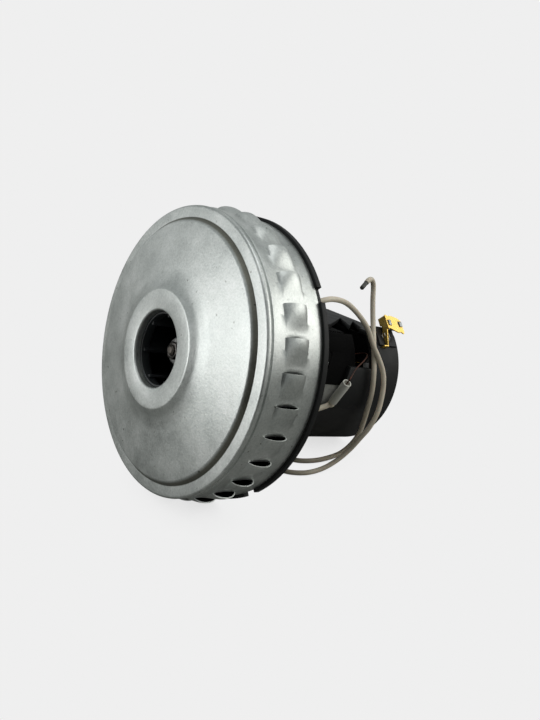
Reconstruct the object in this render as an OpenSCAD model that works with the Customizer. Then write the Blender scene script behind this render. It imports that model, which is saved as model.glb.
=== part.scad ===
// Motor and fan unit of a vacuum cleaner: a pressed steel fan cover with louvres, a notched
// flange, a plastic motor housing and a rotor that carries the impeller.
// The unit lies on a bench as photographed: the flange and the tail of the housing rest on it.
// Every piece is drawn on the shaft axis, with z running back from the front rim of the cover,
// and place() then lays the whole unit down with its inlet towards -Y.

/* [Fan cover] */
// Outside radius of the fan cover
cover_r = 72.5; // [60:0.5:85]
// Thickness of the cover's steel sheet
cover_wall = 0.8; // [0.6:0.1:1.2]
// Length of the cover from the front rim to its back edge
cover_len = 32.4; // [30:0.2:40]
// Radius of the air inlet
inlet_r = 19; // [16:0.5:22]
// Outside radius of the flat collar round the inlet
collar_r = 29.2; // [27:0.2:32]
// Height of the collar in front of the rim
collar_h = 10; // [8:0.5:14]
// Length of the rolled edge inside the inlet
inlet_lip = 2.4; // [1.5:0.1:4]
// Radius where the collar's flank meets the dome
flank_r = 36; // [34:0.5:42]
// Height of the dome at the foot of the flank
flank_h = 6.2; // [5:0.1:7]
// Radius of the top of the step near the rim
step_top_r = 63.9; // [55:0.1:64]
// Radius of the foot of the step
step_foot_r = 66.2; // [65:0.1:68]
// Height of the step
step_h = 2.4; // [1:0.1:4]
// Depth of the groove behind the rim
groove_d = 0.5; // [0.2:0.1:0.7]

/* [Louvres] */
// Number of louvres round the cover
louvre_count = 30; // [12:2:34]
// Distance of the louvres' middle behind the rim
louvre_z = 16.8; // [14:0.2:19]
// Width of a louvre's mouth along the shaft
louvre_w = 13; // [10:0.5:15]
// Height of a louvre above the cover
louvre_h = 3; // [2:0.1:3.6]
// Length of a louvre round the cover
louvre_len = 11; // [8:0.5:12]
// Direction of the first louvre's mouth, from the top towards +X
louvre_phi = 90.9; // [84:0.1:96]

/* [Flange] */
// Outside radius of the flange
flange_r = 74.1; // [74.1:0.1:90]
// Thickness of the flange's rim
flange_t = 2.9; // [2:0.1:5]
// Half angle of the flat that the flange stands on
flange_flat = 9; // [6:0.5:12]
// Number of notches in the flange
notch_count = 4; // [2:1:6]
// Direction of the first notch, from the top towards +X
notch_phi = 49.3; // [45:0.1:60]
// Width of a notch in degrees
notch_w = 6; // [4:0.5:9]
// Depth of a notch from the flange's edge
notch_d = 2.2; // [1:0.1:3]
// Depth of the flange's step inside the cover
spigot_len = 2.6; // [1.5:0.1:4]
// Number of ribs on the back of the flange
rib_count = 12; // [6:2:16]
// Height of the ribs
rib_h = 4; // [2:0.5:6]

/* [Motor housing] */
// Outside radius of the motor housing
housing_r = 42; // [41:0.5:46]
// Wall of the motor housing
housing_wall = 2.4; // [1.8:0.1:2.6]
// Distance of the housing's back face behind the rim
housing_end = 127; // [126:0.5:140]
// Height of the housing's flat top above the shaft
top_flat = 30; // [29:0.5:34]
// Depth of the flat foot below the shaft
foot_flat = 41; // [40:0.2:41.8]
// Chamfer round the back edge
tail_chamfer = 1; // [0.5:0.5:2]
// Width of the ring that is screwed to the flange
ring_w = 10; // [9:0.5:12]
// Thickness of that ring
ring_t = 3; // [2:0.5:5]
// Number of cooling slots in the back wall
vent_count = 8; // [4:2:12]

/* [Bearings and shaft] */
// Radius of the shaft
shaft_r = 4; // [3:0.5:4]
// Outside radius of the ball bearings
bearing_r = 11; // [10:0.5:12]
// Width of the ball bearings
bearing_w = 7; // [6:0.5:8]
// Distance of the front bearing behind the rim
front_bearing_z = 37.5; // [37:0.5:39]
// Distance of the rear bearing behind the rim
rear_bearing_z = 129; // [128:0.5:131]

/* [Stator and armature] */
// Space between the stator laminations and the outside of the housing
stator_space = 3.4; // [3.2:0.1:6]
// Bore of the stator
stator_bore_r = 20.6; // [19:0.1:22]
// Front of the stator stack
stator_z = 52; // [51:0.5:54]
// Length of the stator stack
stator_len = 34; // [30:0.5:36]
// Half width across the stator's flats
stator_flat = 26.6; // [25:0.1:27]
// Gap between the armature and the stator's bore
air_gap = 0.5; // [0.3:0.05:0.8]
// Radius of the commutator
commutator_r = 12; // [10:0.5:13]
// Number of commutator bars
bar_count = 24; // [20:2:32]
// Number of armature slots
slot_count = 12; // [10:1:14]

/* [Impeller] */
// Outside radius of the impeller
impeller_r = 64; // [55:0.5:65]
// Radius of the impeller's eye
eye_r = 17.6; // [15:0.2:17.6]
// Number of impeller vanes
vane_count = 7; // [5:1:10]
// Direction of the first vane's front edge, from the top towards +X
vane_phi = 248.5; // [200:0.5:300]
// How far a vane sweeps round the shaft
vane_sweep = 70; // [50:1:80]
// Thickness of the impeller's plates and vanes
plate_t = 1.4; // [1:0.1:2]
// Distance of the impeller's back plate behind the rim
back_plate_z = 25.8; // [24:0.2:26]
// Radius of the washer under the impeller's nut
washer_r = 6.3; // [5.8:0.1:7]

/* [Brush gear] */
// Direction of the first brush, from the top towards +X
brush_phi = 47; // [44:0.5:50]
// Distance of the brushes' middle behind the rim
brush_z = 117; // [116:0.5:117]
// Thickness of a carbon brush round the commutator
brush_t = 6.4; // [5:0.2:7]
// Width of a carbon brush along the shaft
brush_w = 11; // [9:0.5:11]
// Length of a carbon brush
brush_len = 19; // [15:0.5:20]
// How far a brush can be pushed back in its holder
brush_travel = 2; // [1:0.5:3]
// Wall of the brass tube
tube_wall = 0.6; // [0.5:0.1:0.8]
// Height of the brass cap's face above the housing
cap_lift = 6; // [5:0.1:8]
// Length of the brass cap along the shaft
cap_w = 13.7; // [13:0.1:16]
// Height of the brass cap's face round the shaft
cap_face = 9.4; // [9:0.1:11]
// Overall height of the brass cap with its leg
cap_h = 20; // [18:0.5:21]

/* [Leads] */
// Diameter of the insulated leads
lead_d = 2.8; // [2.2:0.1:3.4]
// Outside diameter of the splice sleeve
sleeve_d = 4.6; // [4.5:0.1:5.2]
// Length of the splice sleeve
sleeve_len = 16.5; // [12:0.5:18]

/* [Hidden] */
$fn = 96;

// Small amounts for cuts and for pieces that lie against each other.
eps = 0.02;
cut = 1;
seat_gap = 0.1;
slide_gap = 0.08;

steel = [0.78, 0.79, 0.78];
dark_plastic = [0.12, 0.12, 0.13];
brass = [0.80, 0.64, 0.24];
copper = [0.62, 0.33, 0.16];
beige = [0.74, 0.70, 0.62];
iron = [0.55, 0.55, 0.53];
carbon = [0.16, 0.16, 0.17];

// The flange stands on the bench behind its rim, and the housing on the end of its foot.
flange_front_z = cover_len;
flange_back_z = flange_front_z + flange_t;
flange_foot_r = flange_r * cos(flange_flat);
foot_end_z = housing_end - tail_chamfer;
boss_end_z = rear_bearing_z + bearing_w + 3;
boss_r = bearing_r + 2;
tilt = atan((flange_foot_r - foot_flat) / (foot_end_z - flange_back_z));
bench_z = flange_foot_r * cos(tilt) + flange_back_z * sin(tilt);
rim_chamfer = 1;
front_y = -(cover_r - rim_chamfer) * sin(tilt);
rear_y = boss_end_z * cos(tilt) + (boss_r - 0.5) * sin(tilt);
middle_y = (front_y + rear_y) / 2;

fit_gap = 0.02;
ring_r = housing_r + ring_w;
screw_circle_r = housing_r + ring_w / 2;
stator_r = housing_r - stator_space;
cap_r = housing_r + cap_lift;
inner_race_r = bearing_r / 2 - 0.05;
spigot_r = cover_r - cover_wall - seat_gap;
spigot_z = flange_front_z - spigot_len;
brush_root_r = commutator_r + 0.1;
brush_end_r = brush_root_r + brush_len;
tube_root_r = commutator_r + 3;
tube_t = brush_t + 2 * slide_gap + 2 * tube_wall;
tube_w = brush_w + 2 * slide_gap + 2 * tube_wall;
holder_t = tube_t + 4;
holder_w = tube_w + 2.6;
holder_end_r = cap_r - 4.2;
tube_end_r = holder_end_r;
armature_r = stator_bore_r - air_gap;
stator_end = stator_z + stator_len;
coil_out = 8;
winding_len = 6.5;
commutator_z = brush_z - brush_w / 2 - 2;
commutator_len = brush_w + 4;
clip_r = cover_r - 9.5;
clip_len = 4.2;
clip_wall = 1;
lead_r = lead_d / 2;

// Routes of the two leads on the bench, each from its clip to its bare end.
lead_1_route = [[46.3, 4.4, 107.3], [45.3, 8.7, 106.5],
    [43, 16.7, 103.6], [40.8, 24.3, 99.5], [38.5, 34.6, 90.8], [39, 41.3, 81.9], [42, 43, 73], [44, 46, 65], [46, 48, 57], [48, 47, 50],
    [49.5, 44.5, 43], [50.5, 41, 36], [49.5, 36.5, 28], [46, 33, 20.5], [42, 30, 13],
    [38, 24, 6], [35, 16, 2.2], [32, 7, 1.5], [26, 0, 1.5], [18, -4, 1.5], [10, -7, 1.5],
    [1, -9, 1.5], [-8, -10, 1.5], [-17, -11, 1.5], [-26, -14, 1.5], [-33, -19, 1.5]];
lead_2_route = [[-47, -24, 22.5], [-47, -15, 16.5], [-45, -8, 11],
    [-39, -4, 5], [-31, -3, 1.8], [-22, -3, 1.5], [-13, -2, 1.5], [-5, 0, 1.5],
    [4, 3, 1.5], [12, 7, 1.5], [20, 12, 1.5], [25, 19, 1.5], [28, 26, 2], [31, 33, 4],
    [34, 38, 9], [38, 40, 17], [42, 39, 26], [44, 39.5, 35], [45, 41, 44], [45, 42, 52],
    [43, 44, 61], [39, 47, 70], [34, 51, 77], [29, 55, 85], [26, 57.5, 92],
    [24.4, 59, 97.5], [24.6, 58.2, 100.6], [25.2, 56, 102.8], [26, 53.2, 102.9],
    [26.5, 51.2, 102.1]];

// Lays a piece that is drawn on the shaft axis down on the bench.
module place() {
    translate([0, -middle_y, bench_z]) rotate([-90 - tilt, 0, 0]) children();
}

// Turns +X of a piece to a direction that is measured from the top towards +X.
module at(phi) {
    rotate([0, 0, phi - 90]) children();
}

// A straight tube or disc on the shaft axis.
module barrel(r, z1, z2) {
    translate([0, 0, z1]) cylinder(r = r, h = z2 - z1);
}

// A part of a ring, from one direction to another.
module sector(r1, r2, z1, z2, phi1, phi2) {
    translate([0, 0, z1]) at(phi1)
        rotate_extrude(angle = phi2 - phi1) translate([r1, 0]) square([r2 - r1, z2 - z1]);
}

// A block that reaches out from the axis in the direction of +X.
module arm(x1, x2, y1, y2, z1, z2) {
    translate([x1, y1, z1]) cube([x2 - x1, y2 - y1, z2 - z1]);
}

// A straight round bar between two points.
module bar(a, b, d) {
    v = b - a;
    len = norm(v);
    translate(a) rotate([0, acos(v[2] / len), atan2(v[1], v[0])]) cylinder(d = d, h = len);
}

// Louvre horns: each is a cone that lies along the cover with its axis under the sheet, so
// that only a rounded hood stands above it.
horn_r = (pow(louvre_w / 2, 2) + pow(louvre_h, 2)) / (2 * louvre_h) + 0.6;
horn_end_r = horn_r - louvre_h - 0.4;
module louvre_horn(shrink, extra) {
    translate([cover_r - (horn_r - louvre_h), -extra, louvre_z]) rotate([-90, 0, 0])
        cylinder(r1 = horn_r - shrink, r2 = horn_end_r - shrink, h = louvre_len + extra);
}

// Section of the cover: the outside from the inlet to the back edge, and back along the inside.
cover_outside = [[inlet_r, -collar_h + 0.5], [inlet_r + 0.5, -collar_h],
    [collar_r, -collar_h], [collar_r + 0.9, -collar_h + 0.7],
    [collar_r + 2.4, -collar_h + (collar_h - flank_h) * 0.62],
    [flank_r - 1.6, -flank_h - 0.5], [flank_r + 1.5, -flank_h + 0.3],
    [step_top_r - 0.8, -step_h - 0.1], [step_top_r, -step_h + 0.3],
    [step_foot_r - 0.4, -0.3], [step_foot_r, 0], [cover_r - rim_chamfer, 0],
    [cover_r, rim_chamfer], [cover_r, 2], [cover_r - groove_d, 2.5],
    [cover_r - groove_d, 3.1], [cover_r, 3.6], [cover_r, cover_len]];
cover_inside = [[cover_r - cover_wall, cover_len], [cover_r - cover_wall, 3.8],
    [cover_r - cover_wall - groove_d, 3.2], [cover_r - cover_wall - groove_d, cover_wall],
    [step_foot_r - 0.5, cover_wall], [step_foot_r - 1, cover_wall - 0.4],
    [step_top_r - 0.6, -step_h + cover_wall + 0.3],
    [step_top_r - 1.4, -step_h + cover_wall - 0.1],
    [flank_r + 1.2, -flank_h + cover_wall + 0.4], [flank_r - 2.2, -flank_h + cover_wall - 0.6],
    [collar_r + 1.6, -collar_h + (collar_h - flank_h) * 0.62 + 0.3],
    [collar_r - 0.2, -collar_h + cover_wall], [inlet_r + cover_wall, -collar_h + cover_wall],
    [inlet_r + cover_wall, -collar_h + inlet_lip], [inlet_r, -collar_h + inlet_lip]];

module fan_cover() {
    color(steel) place() difference() {
        union() {
            rotate_extrude() polygon(concat(cover_outside, cover_inside));
            difference() {
                for (i = [0:louvre_count - 1])
                    at(louvre_phi + i * 360 / louvre_count) louvre_horn(0, 0);
                barrel(cover_r - cover_wall / 2, -cut, cover_len);
            }
        }
        for (i = [0:louvre_count - 1])
            at(louvre_phi + i * 360 / louvre_count) louvre_horn(cover_wall, eps);
    }
}

// Flange: rim with notches, a step that fits inside the cover, the front bearing's seat and ribs.
bearing_seat_r = bearing_r + fit_gap;
shank_r = 1.6;
screw_head_r = 3.6;
flange_boss_r = boss_r + 2;
inner_rib_end = top_flat - housing_wall - 1;
rib_phi = 10;
module flange() {
    color(dark_plastic) place() difference() {
        union() {
            barrel(flange_r, flange_front_z, flange_back_z);
            barrel(spigot_r, spigot_z, flange_back_z);
            barrel(flange_boss_r, flange_back_z, front_bearing_z + bearing_w);
            for (i = [0:rib_count - 1]) at(rib_phi + i * 360 / rib_count) {
                arm(ring_r + 0.5, flange_r - 5, -1, 1, flange_back_z - eps, flange_back_z + rib_h);
                arm(boss_r, inner_rib_end, -1, 1, flange_back_z - eps, flange_back_z + rib_h);
            }
        }
        at(180) arm(flange_foot_r, flange_r + cut, -flange_r / 3, flange_r / 3, flange_front_z - cut,
            flange_back_z + cut);
        for (i = [0:notch_count - 1])
            sector(flange_r - notch_d, flange_r + cut, flange_front_z - cut,
                flange_back_z + cut, notch_phi - notch_w / 2 + i * 360 / notch_count,
                notch_phi + notch_w / 2 + i * 360 / notch_count);
        barrel(bearing_seat_r, front_bearing_z, front_bearing_z + bearing_w + cut);
        barrel(inner_race_r + 2, spigot_z - cut, front_bearing_z + cut);
        for (i = [0:3]) at(45 + i * 90) translate([screw_circle_r, 0, spigot_z - cut])
            cylinder(r = shank_r, h = flange_t + spigot_len + 2 * cut);
    }
}

// Outline of the housing: a circle with a flat top and a flat foot. The top is -Y here.
module housing_outline(inset) {
    intersection() {
        circle(r = housing_r - inset);
        translate([-housing_r, -(top_flat - inset)])
            square([2 * housing_r, top_flat + foot_flat - 2 * inset]);
    }
}

// A barrel with a chamfered back edge, which trims the housing.
module tail_shape() {
    barrel(housing_r + 1, flange_back_z, foot_end_z);
    translate([0, 0, foot_end_z - eps])
        cylinder(r1 = housing_r, r2 = housing_r - tail_chamfer, h = tail_chamfer + eps);
}

// Outline of a side window as [height towards the top, distance behind the rim].
window_z = 44;
window_end = 103;
side_window = [[top_flat - housing_wall, window_z], [-11, window_z], [-11, 79], [-4, 81],
    [11.6, 86], [11.6, window_end], [top_flat - housing_wall, window_end]];

// The first window reaches into the flat top with a jagged edge, as [x, distance].
top_window = [[housing_r + 3, window_z], [28, window_z], [26, 76], [-2, 112], [19, 99],
    [2, 119], [21, 107], [23, window_end], [housing_r + 3, window_end]];
module windows() {
    for (side = [0, 180]) rotate([0, 0, side]) rotate([90, 0, 90])
        translate([0, 0, housing_r / 2]) linear_extrude(housing_r) polygon([for (p = side_window)
            [-p[0], p[1]]]);
    rotate([90, 0, 0]) translate([0, 0, top_flat - 6]) linear_extrude(housing_r)
        polygon(top_window);
}

ring_hole_r = screw_head_r - 1.5;
vent_w = 5;
stator_seat_gap = 0.1;
module motor_housing() {
    color(dark_plastic) place() union() {
        difference() {
            union() {
                intersection() {
                    translate([0, 0, flange_back_z])
                        linear_extrude(housing_end - flange_back_z) housing_outline(0);
                    tail_shape();
                }
                barrel(ring_r, flange_back_z, flange_back_z + ring_t);
                barrel(boss_r, housing_end - cut, boss_end_z - 0.5);
                translate([0, 0, boss_end_z - 0.5])
                    cylinder(r1 = boss_r, r2 = boss_r - 0.5, h = 0.5);
            }
            translate([0, 0, flange_back_z - cut])
                linear_extrude(housing_end - housing_wall - flange_back_z + cut)
                housing_outline(housing_wall);
            barrel(bearing_seat_r, housing_end - housing_wall - cut,
                rear_bearing_z + bearing_w);
            windows();
            for (side = [0, 180]) at(brush_phi + side)
                arm(housing_r - 18, housing_r + 3, -holder_t / 2 - seat_gap,
                    holder_t / 2 + seat_gap, brush_z - holder_w / 2 - seat_gap,
                    brush_z + holder_w / 2 + seat_gap);
            for (i = [0:3]) at(45 + i * 90)
                translate([screw_circle_r, 0, flange_back_z - cut])
                cylinder(r = ring_hole_r, h = ring_t + 2 * cut);
            for (i = [0:vent_count - 1]) at((i + 0.5) * 360 / vent_count)
                arm(boss_r + 3.5, top_flat - 5, -vent_w / 2, vent_w / 2,
                    housing_end - housing_wall - cut, housing_end + cut);
        }
        for (side = [0, 180], phi = [112, 126])
            sector(stator_r + stator_seat_gap, housing_r - 1, stator_z - 2, stator_end - 4,
                phi + side, phi + 6 + side);
    }
}

module housing_screw(i) {
    slot_z = flange_back_z + ring_t + 1.2;
    head_end = flange_back_z + ring_t + 2.4;
    color(steel) place() at(45 + i * 90) translate([screw_circle_r, 0, 0]) difference() {
        union() {
            barrel(shank_r, spigot_z + 0.5, flange_back_z + ring_t + eps);
            barrel(screw_head_r, flange_back_z + ring_t, head_end);
        }
        arm(-2.6, 2.6, -0.5, 0.5, slot_z, head_end + cut);
        arm(-0.5, 0.5, -2.6, 2.6, slot_z, head_end + cut);
    }
}

// Stator stack: a pole stands at each side, and the coils lie in the slots beside the poles.
slot_r = stator_r - 5.6;
slot_in = 34;
slot_out = 62;
slot_top = stator_flat - 4.5;
module stator_core() {
    color(iron) place() translate([0, 0, stator_z]) difference() {
        linear_extrude(stator_len) intersection() {
            circle(r = stator_r);
            square([2 * stator_r, 2 * stator_flat], center = true);
        }
        translate([0, 0, -cut]) cylinder(r = stator_bore_r, h = stator_len + 2 * cut);
        for (side = [90, 270]) translate([0, 0, -cut]) slot_cut(side);
    }
}

// The four slots run through the whole stack.
module slot_cut(side) {
    linear_extrude(stator_len + 2 * cut) intersection() {
        for (s = [-1, 1]) rotate(side - 90 + s * (slot_in + slot_out) / 2)
            slot_wedge((slot_out - slot_in) / 2);
        circle(r = slot_r);
        square([2 * slot_r, 2 * slot_top], center = true);
    }
}

// A wedge about +X in the plane, long enough to leave the stack.
module slot_wedge(half) {
    reach = 2 * stator_r;
    polygon([[0, 0], [reach, -reach * tan(half)], [reach, reach * tan(half)]]);
}

// A saddle-shaped coil: two bars through the slots, joined by an arc at each end of the stack.
coil_gap = 0.3;
module field_coil(side) {
    r1 = stator_bore_r + 0.8;
    r2 = slot_r - 1;
    end_len = coil_out - 1.5;
    color(copper) place() union() {
        translate([0, 0, stator_z - coil_out]) linear_extrude(stator_len + 2 * coil_out)
            intersection() {
                for (s = [-1, 1]) rotate(side - 90 + s * (slot_in + slot_out) / 2)
                    slot_wedge((slot_out - slot_in) / 2 - 1);
                difference() {
                    circle(r = r2);
                    circle(r = r1);
                }
                square([2 * slot_r, 2 * (slot_top - coil_gap)], center = true);
            }
        for (z = [stator_z - coil_out + 0.5, stator_end + 1])
            sector(r1 + 0.6, r2 - 5, z, z + end_len, side - slot_in - 3, side + slot_in + 3);
    }
}

// Black insulation that covers the stack behind the window.
cover_phi = 47;
cover_turn = 42;
module coil_cover(side) {
    color(dark_plastic) place() difference() {
        sector(stator_r, housing_r - housing_wall - seat_gap, stator_z - 2, stator_end + 6,
            cover_phi + side, cover_phi + cover_turn + side);
        at(cover_phi + cover_turn + side) translate([0, 0, stator_z - 3])
            rotate([-20, 0, 0]) arm(0, 2 * housing_r, -housing_r * 0.57, 3, -housing_r,
                stator_len * 0.53);
    }
}

// A ball bearing's outer ring, balls and cage.
ball_r = bearing_r * 0.177;
pitch_r = bearing_r * 0.68;
module bearing(z) {
    color(steel) place() translate([0, 0, z]) union() {
        difference() {
            cylinder(r = bearing_r, h = bearing_w);
            translate([0, 0, -cut]) cylinder(r = pitch_r + ball_r * 0.72, h = bearing_w + 2 * cut);
        }
        difference() {
            translate([0, 0, bearing_w / 2 - 0.6]) cylinder(r = pitch_r + ball_r * 0.8, h = 1.2);
            translate([0, 0, -cut]) cylinder(r = pitch_r - ball_r * 0.6, h = bearing_w + 2 * cut);
        }
        for (i = [0:6]) rotate(i * 360 / 7) translate([pitch_r, 0, bearing_w / 2])
            sphere(r = ball_r, $fn = 32);
    }
}

module inner_race(z) {
    color(steel) place() translate([0, 0, z]) difference() {
        cylinder(r = inner_race_r, h = bearing_w);
        translate([0, 0, -cut]) cylinder(r = shaft_r, h = bearing_w + 2 * cut);
    }
}

// Black block that holds a brass tube in the wall of the housing.
module brush_holder(side) {
    color(dark_plastic) place() at(brush_phi + side) difference() {
        arm(tube_root_r + 5, holder_end_r, -holder_t / 2, holder_t / 2, brush_z - holder_w / 2,
            brush_z + holder_w / 2);
        arm(tube_root_r, holder_end_r + cut, -tube_t / 2 - fit_gap, tube_t / 2 + fit_gap,
            brush_z - tube_w / 2 - fit_gap, brush_z + tube_w / 2 + fit_gap);
    }
}

module brush_tube(side) {
    color(brass) place() at(brush_phi + side) difference() {
        arm(tube_root_r, tube_end_r, -tube_t / 2, tube_t / 2, brush_z - tube_w / 2,
            brush_z + tube_w / 2);
        arm(tube_root_r - cut, tube_end_r + cut, -tube_t / 2 + tube_wall,
            tube_t / 2 - tube_wall, brush_z - tube_w / 2 + tube_wall,
            brush_z + tube_w / 2 - tube_wall);
    }
}

// Brass cap: a face over the end of the tube, with a leg down the inlet side to a foot.
cap_t = 0.7;
cap_skirt = cap_r - (housing_r - 0.7);
cap_shift = 4.4;
cap_front = brush_z - cap_w / 2 + cap_shift;
cap_top = -cap_h / 2 - 0.9;
lug_w = 2;
lug_h = 3.2;
lug_z = [cap_front + 1.4, cap_front + cap_w - 2.9];
lug_top = cap_top + 3.1;
slot_gap = 0.1;
module brush_cap(side) {
    color(brass) place() at(brush_phi + side) mirror([0, side / 180, 0]) difference() {
        union() {
            arm(cap_r - cap_t, cap_r, cap_top, cap_top + cap_face, cap_front,
                cap_front + cap_w);
            arm(cap_r - cap_skirt, cap_r, cap_top, cap_top + cap_t, cap_front,
                cap_front + cap_w);
            arm(housing_r + seat_gap, cap_r, cap_top, -holder_t / 2 - seat_gap, cap_front,
                cap_front + cap_t);
            arm(cap_r - cap_t, cap_r, cap_top + cap_face - eps, cap_top + cap_h, cap_front,
                cap_front + 1.6);
            arm(cap_r - cap_skirt, cap_r, cap_top + cap_h - cap_t, cap_top + cap_h, cap_front,
                cap_front + 4);
        }
        for (z = lug_z) arm(cap_r - 2, cap_r + cut, lug_top - slot_gap,
            lug_top + lug_h + slot_gap, z - slot_gap, z + lug_w + slot_gap);
    }
}

// A steel bracket on the holder, whose two tongues stand through the slots of the cap.
lug_foot_t = 0.8;
module cap_lugs(side) {
    color(iron) place() at(brush_phi + side) mirror([0, side / 180, 0]) {
        for (z = lug_z)
            arm(holder_end_r, cap_r + 1.4, lug_top, lug_top + lug_h, z, z + lug_w);
        arm(holder_end_r, holder_end_r + lug_foot_t, lug_top, lug_top + lug_h, lug_z[0],
            lug_z[1] + lug_w);
    }
}

// Coil spring behind a brush, which stays clear of the cap when the brush is pushed back.
spring_gap = brush_travel + 0.3;
module brush_spring(side) {
    r = min(brush_t, brush_w) / 2 - 0.3;
    spring_end = cap_r - cap_t - spring_gap;
    color(steel) place() at(brush_phi + side) translate([brush_end_r, 0, brush_z])
        rotate([0, 90, 0]) difference() {
            cylinder(r = r, h = spring_end - brush_end_r);
            translate([0, 0, 1]) cylinder(r = r - 0.7, h = spring_end);
        }
}

module carbon_brush(side) {
    color(carbon) place() at(brush_phi + side) difference() {
        arm(brush_root_r - 1, brush_end_r, -brush_t / 2, brush_t / 2, brush_z - brush_w / 2,
            brush_z + brush_w / 2);
        at(90) barrel(brush_root_r, brush_z - brush_w, brush_z + brush_w);
    }
}

// Clip on the back of the flange that a lead comes out of.
clip_phi = notch_phi - 2.3;
module lead_clip(side) {
    color(dark_plastic) place() at(clip_phi + side) union() {
        translate([clip_r, 0, flange_back_z]) cylinder(r = lead_r + clip_wall, h = clip_len);
        arm(ring_r + 4, clip_r, -1.5, 1.5, flange_back_z, flange_back_z + 2.5);
    }
}

// A tube swept along the points of a route, whose first ring lies flat on the clip.
function unit(v) = v / norm(v);
function turned(side, along) = unit(side - along * (side * along));
function sides_along(tangents, i, side) =
    i >= len(tangents) ? []
    : let(s = turned(side, tangents[i])) concat([s], sides_along(tangents, i + 1, s));
module swept_tube(route, d, start_dir) {
    faces_n = 8;
    last = len(route) - 1;
    tangents = [for (i = [0:last]) i == 0 ? start_dir
        : unit(route[min(i + 1, last)] - route[i - 1])];
    sides = sides_along(tangents, 0, unit(cross(tangents[0], [0.3, 1, 0.2])));
    points = [for (i = [0:last], k = [0:faces_n - 1])
        let(a = k * 360 / faces_n, s = sides[i])
        route[i] + d / 2 * (cos(a) * s + sin(a) * cross(tangents[i], s))];
    walls = [for (i = [0:last - 1], k = [0:faces_n - 1])
        let(m = (k + 1) % faces_n)
        each [[i * faces_n + k, i * faces_n + m, (i + 1) * faces_n + k],
            [i * faces_n + m, (i + 1) * faces_n + m, (i + 1) * faces_n + k]]];
    ends = [[for (k = [faces_n - 1:-1:0]) k],
        [for (k = [0:faces_n - 1]) last * faces_n + k]];
    polyhedron(points, concat(walls, ends));
}

// A place given by its distance from the shaft, its direction and its distance behind the rim.
function on_axis(r, phi, z) = [r * sin(phi), -r * cos(phi), z];
function laid(q) = [q[0],
    -q[1] * sin(tilt) + q[2] * cos(tilt) - middle_y,
    -q[1] * cos(tilt) - q[2] * sin(tilt) + bench_z];
axis_back = [0, cos(tilt), -sin(tilt)];
clip_end_z = flange_back_z + clip_len;
function lead_exit(side) = laid(on_axis(clip_r, clip_phi + side, clip_end_z));
module lead(side, route) {
    exit = lead_exit(side);
    color(beige) swept_tube(concat([exit, exit + 2 * axis_back], route), lead_d, axis_back);
}

// Bare strands at the end of a lead.
strip_len = 5.5;
module lead_core(route) {
    last = len(route) - 1;
    along = unit(route[last] - route[last - 1]);
    color(copper) bar(route[last], route[last] + strip_len * along, lead_d * 0.65);
}

// Splice between a lead and the field winding, on the side of the housing.
sleeve_lift = housing_r + sleeve_d / 2 + 1.6;
sleeve_top = on_axis(sleeve_lift + 8.7, 82.8, 71);
sleeve_low_dir = unit(on_axis(sleeve_lift, 98, 74.4) - sleeve_top);
sleeve_low = sleeve_top + sleeve_len * sleeve_low_dir;
wire_root = sleeve_top + 4 * sleeve_low_dir;
module splice_sleeve() {
    color(beige) place() difference() {
        bar(sleeve_top, sleeve_low, sleeve_d);
        bar(sleeve_top - sleeve_low_dir, wire_root, sleeve_d - 1.4);
    }
}

wire_d = 0.8;
wire_route = [wire_root, sleeve_top - 2 * sleeve_low_dir, on_axis(housing_r + 7.5, 74.5, 82),
    on_axis(housing_r + 5.5, 69, 90), on_axis(housing_r + 2.5, 64.5, 96),
    on_axis(housing_r - 2, 62, 99), on_axis(housing_r - 7, 61, 98.5),
    on_axis(stator_bore_r + 9, 62, stator_end + coil_out + 0.5)];
module magnet_wire() {
    color(copper) place() swept_tube(wire_route, wire_d, -sleeve_low_dir);
}

// Stub of the spliced lead: it leaves the sleeve through a bead and goes behind the flange.
bead_d = sleeve_d - 0.5;
knuckle_d = lead_d + 0.2;
bead_at = sleeve_low + bead_d / 2 * sleeve_low_dir;
stub_back = on_axis(housing_r + 6, 112, flange_back_z + ring_t + 4);
stub_end = on_axis(clip_r - 6, 104.5, flange_back_z + lead_r + 0.7);
module lead_stub() {
    color(beige) place() union() {
        bar(sleeve_low, bead_at, lead_d);
        translate(bead_at) sphere(d = bead_d, $fn = 32);
        bar(bead_at, stub_back, lead_d);
        translate(stub_back) sphere(d = knuckle_d, $fn = 32);
        bar(stub_back, stub_end, lead_d);
    }
}

// Rotor. The shaft ends inside the inlet, in front of the nut that clamps the impeller.
nut_z = 0;
nut_t = 2.2;
washer_t = 1.2;
hub_z = nut_z + nut_t + washer_t;
shaft_end_z = rear_bearing_z + bearing_w;
thread_r = shaft_r - 1.5;
module shaft() {
    color(steel) place() union() {
        translate([0, 0, nut_z - 1.2]) cylinder(r1 = thread_r - 0.8, r2 = thread_r, h = 0.8);
        barrel(thread_r, nut_z - 0.4 - eps, hub_z + eps);
        barrel(shaft_r, hub_z, shaft_end_z - 0.5);
    }
}

module hub_nut() {
    color(steel) place() difference() {
        translate([0, 0, nut_z]) cylinder(r = washer_r * 0.76, h = nut_t, $fn = 6);
        barrel(thread_r, nut_z - cut, nut_z + nut_t + cut);
    }
}

module hub_washer() {
    color(steel) place() difference() {
        barrel(washer_r, hub_z - washer_t, hub_z);
        barrel(thread_r, hub_z - 2 * washer_t, hub_z + cut);
    }
}

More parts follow.
